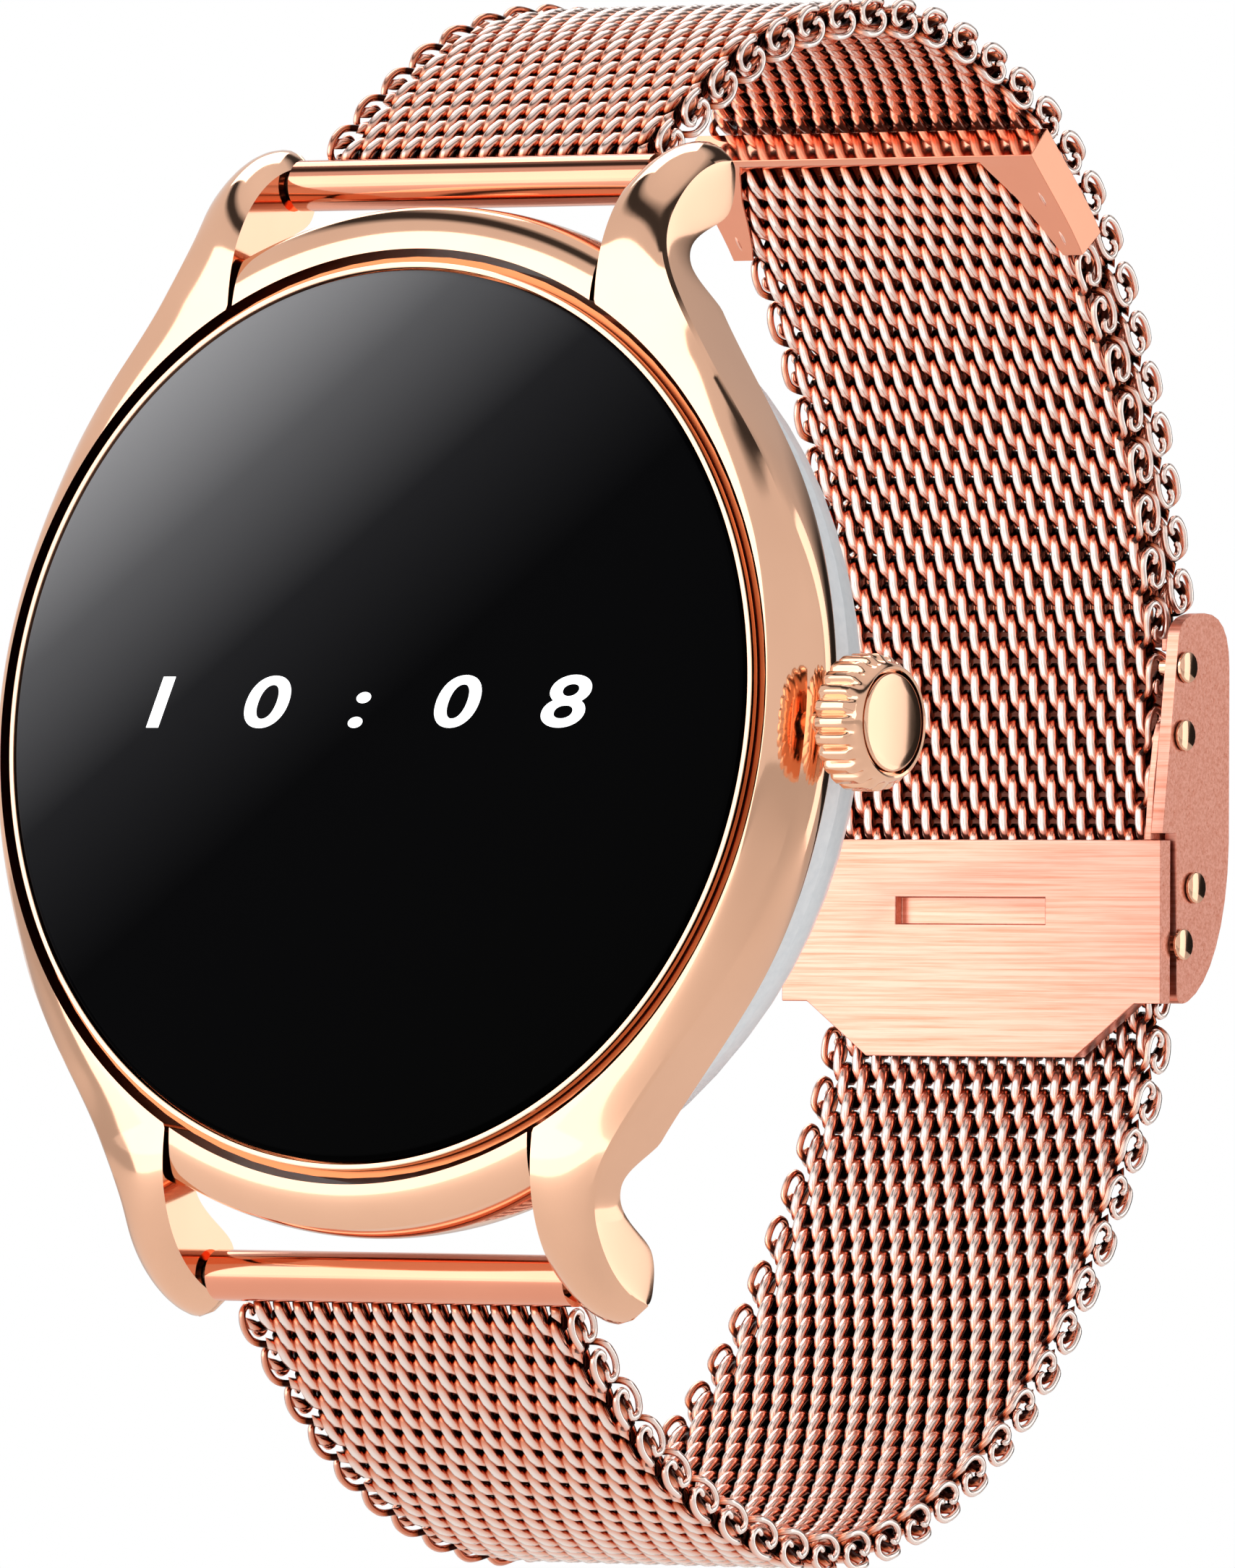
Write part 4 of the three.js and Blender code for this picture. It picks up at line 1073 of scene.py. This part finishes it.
@dataclass
class Weave:
    """Woven wire strap: flattened spirals across it, each a row, with curled ends at its edges."""

    node: str
    body: str
    route: Route
    start: float
    end: float
    pitch: float = 1.04
    row: float = 1.17
    reach: float = 0.93
    straight: float = 0.7
    lift: float = 0.48
    wire: float = 0.25
    turns: int = 16
    steps: int = 12
    sides: int = 7
    edge: float = 8.66
    edge_wire: float = 0.16
    hook: Sequence[Point] = (
        (-1.16, -0.3), (-0.8, -0.62), (-0.25, -0.76), (0.35, -0.7),
        (0.78, -0.38), (0.8, 0.0), (0.5, 0.24), (0.16, 0.06),
    )
    hook_points: int = 30
    hook_dip: float = 0.8
    hook_lead: float = 0.25
    edge_proud: float = 0.75
    edge_fade: float = 1.3
    longest: int = 66

    def rows(self) -> Array:
        """Middle of each row along the strap: whole pairs of rows, spread to fill its length."""
        span = self.end - self.start - 2 * self.reach
        count = 2 * round((span / self.row + 1) / 2)
        return self.start + self.reach + span * np.arange(count) / (count - 1)

    def spirals(self, middles: Array, first: int) -> tuple[Array, Array, Array]:
        """Flattened spirals: across is the turn angle times the pitch, along is its sine, out its cosine.

        Less half the sine of twice the angle, times `straight`, across stands nearly still on both
        faces, so that the legs of the spiral run almost straight along the strap.

        Args:
            middles: Middle of each row.
            first: Number of the first row, which decides how the rows are staggered.

        Returns:
            Points, faces and how proud each point stands.
        """
        angle = np.linspace(0, 2 * math.pi * self.turns, self.turns * self.steps + 1)
        stagger = ((first + np.arange(len(middles))) % 2) * 0.5 - 0.25
        turn = (angle - self.straight * np.sin(2 * angle) / 2) / (2 * math.pi) - self.turns / 2
        x = (turn[None] + stagger[:, None]) * self.pitch
        v = middles[:, None] + self.reach * np.sin(angle)[None]
        n = np.broadcast_to(self.lift * np.cos(angle)[None], x.shape)
        taper = np.ones(len(angle))
        taper[[0, -1]] = 0.02
        points, faces, offset = tube(self.route.place(x, v, n), self.wire * taper[None], self.sides)
        rise = np.einsum("tpsk,tpk->tps", offset, self.route.out(v))
        return points, faces, np.abs(n[..., None] + rise).ravel() / (self.lift + self.wire)

    def curls(self, middles: Array, side: int) -> tuple[Array, Array, Array]:
        """Curled wire ends: two hooks for each pair of rows, one the other turned half round.

        A hook leaves the mesh on one side of the pair, runs over it, and curls back to its middle.

        Args:
            middles: Middle of each row.
            side: 1 for the edge towards the crown, -1 for the other.

        Returns:
            Points, faces and how proud each point stands.
        """
        pairs = (middles[0::2] + middles[1::2]) / 2
        share = np.linspace(0, 1, self.hook_points)
        hook = along(spline(self.hook, 12), share)
        dip = self.hook_dip * np.clip(1 - share / self.hook_lead, 0, 1) ** 2
        x = side * (self.edge - dip)
        paths = []
        for turn in (1, -1):
            v = pairs[:, None] + turn * hook[None, :, 0]
            n = np.broadcast_to(turn * hook[None, :, 1], v.shape)
            paths.append(self.route.place(np.broadcast_to(x[None], v.shape), v, n))
        taper = np.ones(len(hook))
        taper[[0, -1]] = 0.35
        points, faces, offset = tube(np.concatenate(paths), self.edge_wire * taper[None], self.sides)
        # How deep an edge wire dips sets its painted shade in the wire finish.
        sunk = np.tile(dip, (len(paths) * len(pairs), 1))[..., None] - side * offset[..., 0]
        return points, faces, np.clip(self.edge_proud - self.edge_fade * sunk, 0, 1).ravel()

    def build(self) -> None:
        """Builds the strap in lengths of at most `longest` rows, then its curled edges."""
        middles = self.rows()
        done = 0
        for i, share in enumerate(np.array_split(middles, math.ceil(len(middles) / self.longest))):
            self.weave(f"{self.node}_wires_{i + 1}", *self.spirals(share, done))
            done += len(share)
        right, left = (self.curls(middles, side) for side in (1, -1))
        points, proud = (np.concatenate([right[i], left[i]]) for i in (0, 2))
        faces = np.concatenate([right[1], left[1] + len(right[0])])
        self.weave(f"{self.node}_edges", points, faces, proud)

    def weave(self, name: str, points: Array, faces: Array, proud: Array) -> None:
        """Writes one piece of the strap, with how proud each point stands as an attribute."""
        piece = write_mesh(name, points, faces)
        # The wire finish paints shade and highlights from this attribute.
        height = piece.data.attributes.new("proud", "FLOAT", "POINT")
        height.data.foreach_set("value", proud.astype(np.float32))
        shade(piece, 180)
        finish_piece(piece, self.body, Finishes.WIRE, self.node)


@dataclass
class Strap:
    """Both woven straps with their end tubes, spring bars and cap."""

    bar_depth: float = -5.33
    bar_offset: float = 23.56
    exit: float = 1.25
    tilt: float = math.radians(7)
    clasp_depth: float = 37.4
    strap_out: float = -0.4
    lap: float = -0.35
    cap_wall: float = 1.0

    def clasp(self, up: float, out: float) -> tuple[float, float]:
        """Point [y, z] at `up` along the clasp and `out` from its line."""
        return (
            self.clasp_depth - up * math.sin(self.tilt) + out * math.cos(self.tilt),
            up * math.cos(self.tilt) + out * math.sin(self.tilt),
        )

    def long_route(self) -> Route:
        """Route of the long strap: from the bottom tube round the wrist, and up inside the clasp."""
        knots = [
            (self.bar_depth + 0.62 * self.exit, -self.bar_offset - 0.78 * self.exit),
            (-1.2, -27.3), (3.6, -30.6), (9.6, -32.7), (15.5, -33.1), (21.5, -31.5), (27.3, -27.8),
            (32.3, -22.2), (35.8, -15.6), *(self.clasp(up, self.strap_out) for up in (-9, -5, 0, 5, 9)),
            (33.9, 15.9), (31.2, 20.9), (27.4, 25.8), (22.9, 29.5),
        ]
        return Route(knots, -1)

    def short_route(self) -> Route:
        """Route of the short strap: from the top tube over the wrist and down to the clasp."""
        knots = [
            (self.bar_depth + 0.62 * self.exit, self.bar_offset + 0.78 * self.exit),
            (-1.2, 27.6), (3.6, 30.9), (9.6, 32.9), (15.5, 33.3), (21.8, 31.9), (26.6, 29.4), (30.6, 25.3),
            (33.8, 20.2), (36.1, 15.2), self.clasp(10.1, 1.65),
        ]
        return Route(knots, 1)

    def build(self) -> None:
        """Builds the straps and dresses their fittings."""
        long_route, short_route = self.long_route(), self.short_route()
        short_end, long_end = float(short_route.length[-1]), float(long_route.length[-1]) - self.cap_wall
        Weave("short_mesh", "short_strap", short_route, self.lap, short_end).build()
        Weave("long_mesh", "long_strap", long_route, self.lap, long_end).build()
        smooth_copy("strap_cap", Finishes.TUBE, "long_strap", 0.22, 40)
        for word, body in (("top", "short_strap"), ("bottom", "long_strap")):
            smooth_copy(f"{word}_end_tube", Finishes.TUBE, body)
            smooth_copy(f"{word}_spring_bar", Finishes.STEEL, body)
            smooth_copy(f"{word}_release_pin", Finishes.STEEL, f"{word}_release")


# ---------------------------------------------------------------- clasp
@dataclass
class Clasp:
    """Sliding clasp: frame, lock plate, fold-over cover and their rivets."""

    edge_mm: float = 0.1

    def build(self) -> None:
        """Builds the clasp from finely bevelled copies."""
        smooth_copy("clasp_frame", Finishes.CLASP, "long_strap", self.edge_mm)
        smooth_copy("lock_plate", Finishes.CLASP, "lock", self.edge_mm / 2)
        smooth_copy("clasp_cover", Finishes.CLASP, "cover", self.edge_mm)
        smooth_copy("hook_plate", Finishes.CLASP, "short_strap", self.edge_mm)
        for word in ("right", "left"):
            for name in ("hook_stud", "lock_pivot", "cover_pivot", "frame_rivet"):
                smooth_copy(f"{name}_{word}", Finishes.CASE, "long_strap", 0.04)


# ---------------------------------------------------------------- studio
@dataclass(frozen=True)
class Softbox:
    """Rectangular softbox, in metres, that faces the watch or shines along `aim`.

    It lies `far` away in the direction `towards`. A glow of one looks as bright as white paper.
    """

    name: str
    towards: Direction
    far: float
    wide: float
    tall: float
    glow: float
    aim: Direction | None = None

    def build(self) -> None:
        """Adds the light."""
        data = bpy.data.lights.new(self.name, "AREA")
        data.shape = "RECTANGLE"
        data.size, data.size_y = self.wide, self.tall
        data.energy = self.glow * math.pi * self.wide * self.tall
        light = bpy.data.objects.new(self.name, data)
        way = Vector(self.towards).normalized()
        light.location = way * self.far + LIT_POINT
        back = -Vector(self.aim) if self.aim else way
        light.rotation_euler = back.to_track_quat("Z", "Y").to_euler()
        light.visible_camera = False
        bpy.context.scene.collection.objects.link(light)


@dataclass
class Studio:
    """Pale floor, softboxes and the camera."""

    azimuth: float = math.radians(35.67)
    elevation: float = math.radians(-5.92)
    roll: float = math.radians(4.26)
    distance: float = 0.9009
    lens: float = 477.6
    sensor: float = 36
    target: Direction = (0, 0.01166, 0)
    shift: Point = (0.00215, 0.0002)
    floor: float = -0.16
    fill: float = 0.85
    by_height: Sequence[Point] = (
        (-1, 0.75), (-0.88, 0.6), (-0.82, 0.04), (-0.74, 0.04), (-0.66, 0.7), (0, 1.0),
        (0.64, 0.9), (0.7, 0.05), (0.78, 0.05), (0.86, 0.9), (1, 1.0),
    )
    behind: Direction = (0.17, 0.985, 0.05)
    by_behind: Sequence[Point] = ((-1, 1.0), (0.6, 1.0), (0.86, 0.7), (0.95, 0.03), (1, 0.02))
    boxes: Sequence[Softbox] = (
        Softbox("front_box", (-0.3, -0.95, 0.1), 0.8, 1.1, 0.75, 1.7),
        Softbox("top_box", (-0.5, 0.35, 0.95), 0.7, 0.5, 0.4, 2.6),
        Softbox("right_box", (0.68, 0.73, 0.1), 0.8, 0.3, 0.9, 1.1),
        Softbox("low_box", (-0.45, -0.35, -0.75), 0.7, 0.5, 0.35, 2.8),
        Softbox("inner_box", (-0.6, -0.4, 0.0), 0.014, 0.07, 0.06, 0.85, (0, 1, 0)),
    )

    def axes(self) -> tuple[Vector, Vector, Vector]:
        """Right, up and back directions of the camera."""
        a, e = self.azimuth, self.elevation
        back = Vector((math.sin(a) * math.cos(e), -math.cos(a) * math.cos(e), math.sin(e)))
        right = Vector((math.cos(a), math.sin(a), 0))
        up = back.cross(right)
        turned_right = math.cos(self.roll) * right + math.sin(self.roll) * up
        turned_up = -math.sin(self.roll) * right + math.cos(self.roll) * up
        return turned_right, turned_up, back

    def camera(self) -> None:
        """Places the camera."""
        right, up, back = self.axes()
        target = Vector(self.target) - self.shift[0] * right - self.shift[1] * up
        data = bpy.data.cameras.new("camera")
        data.lens = self.lens
        data.sensor_width = self.sensor
        data.clip_start = 0.01
        camera = bpy.data.objects.new("camera", data)
        place = target + self.distance * back
        camera.matrix_world = Matrix(
            (
                (right.x, up.x, back.x, place.x),
                (right.y, up.y, back.y, place.y),
                (right.z, up.z, back.z, place.z),
                (0, 0, 0, 1),
            )
        )
        bpy.context.scene.collection.objects.link(camera)
        bpy.context.scene.camera = camera

    def glow(self, tree: Tree, towards: Direction, stops: Sequence[Point]) -> Socket:
        """Brightness of the surroundings as a curve of the cosine to one direction.

        Args:
            tree: The world's node tree.
            towards: The direction.
            stops: Cosine and brightness of each stop, in order.

        Returns:
            Brightness socket.
        """
        look = add_node(tree, "TexCoord").outputs["Generated"]
        cosine = add_node(tree, "VectorMath", {"operation": "DOT_PRODUCT"})
        tree.links.new(look, cosine.inputs[0])
        cosine.inputs[1].default_value = Vector(towards).normalized()
        spread = {"From Min": -1.0, "From Max": 1.0}
        unit = add_node(tree, "MapRange", spread, {"Value": cosine.outputs["Value"]}).outputs["Result"]
        greys = [((c + 1) / 2, (b, b, b, 1.0)) for c, b in stops]
        return add_node(tree, "ValToRGB", {}, {"Fac": unit}, greys).outputs["Color"]

    def world(self) -> None:
        """White backdrop to the eye; to the metal, bright sides with dark flags above, below and behind."""
        world = bpy.data.worlds.new("studio")
        world.use_nodes = True
        tree = world.node_tree
        tree.nodes.clear()
        height = self.glow(tree, (0, 0, 1), self.by_height)
        behind = self.glow(tree, self.behind, self.by_behind)
        product = {"blend_type": "MULTIPLY", "Fac": 1.0}
        both = add_node(tree, "MixRGB", product, {"Color1": height, "Color2": behind})
        seen = add_node(tree, "Background", {"Color": (1, 1, 1, 1), "Strength": 1.0})
        fill = add_node(tree, "Background", {"Strength": self.fill}, {"Color": both.outputs["Color"]})
        ray = add_node(tree, "LightPath").outputs["Is Camera Ray"]
        mix = add_node(tree, "MixShader", links={"Fac": ray})
        tree.links.new(fill.outputs["Background"], mix.inputs[1])
        tree.links.new(seen.outputs["Background"], mix.inputs[2])
        add_node(tree, "OutputWorld", links={"Surface": mix.outputs["Shader"]})
        bpy.context.scene.world = world

    def ground(self) -> None:
        """Plain pale floor, well below the watch."""
        half = 4000.0
        corners = np.array([[-half, -half], [half, -half], [half, half], [-half, half]])
        points = np.concatenate([corners, np.full((4, 1), self.floor / MM)], axis=1)
        floor = write_mesh("floor", points, np.array([[0, 1, 2, 3]]))
        floor.data.materials.append(Moulding("pale_paper", "", "f4f2f0", "f0eeec", 0.8, grain_mm=3.0).build())

    def build(self) -> None:
        """Sets up the studio, with a plain display transform so that white paper is white."""
        bpy.context.scene.view_settings.view_transform = "Standard"
        self.world()
        self.ground()
        for box in self.boxes:
            box.build()
        self.camera()


def main() -> None:
    """Builds every sub-assembly in order, then the studio."""
    logging.basicConfig(level=logging.INFO, format="%(name)s %(message)s")
    for part in (Case(), Dial(), Back(), Crown(), Strap(), Clasp()):
        LOG.info("building %s", type(part).__name__)
        part.build()
    Studio().build()


if __name__ == "__main__":
    main()
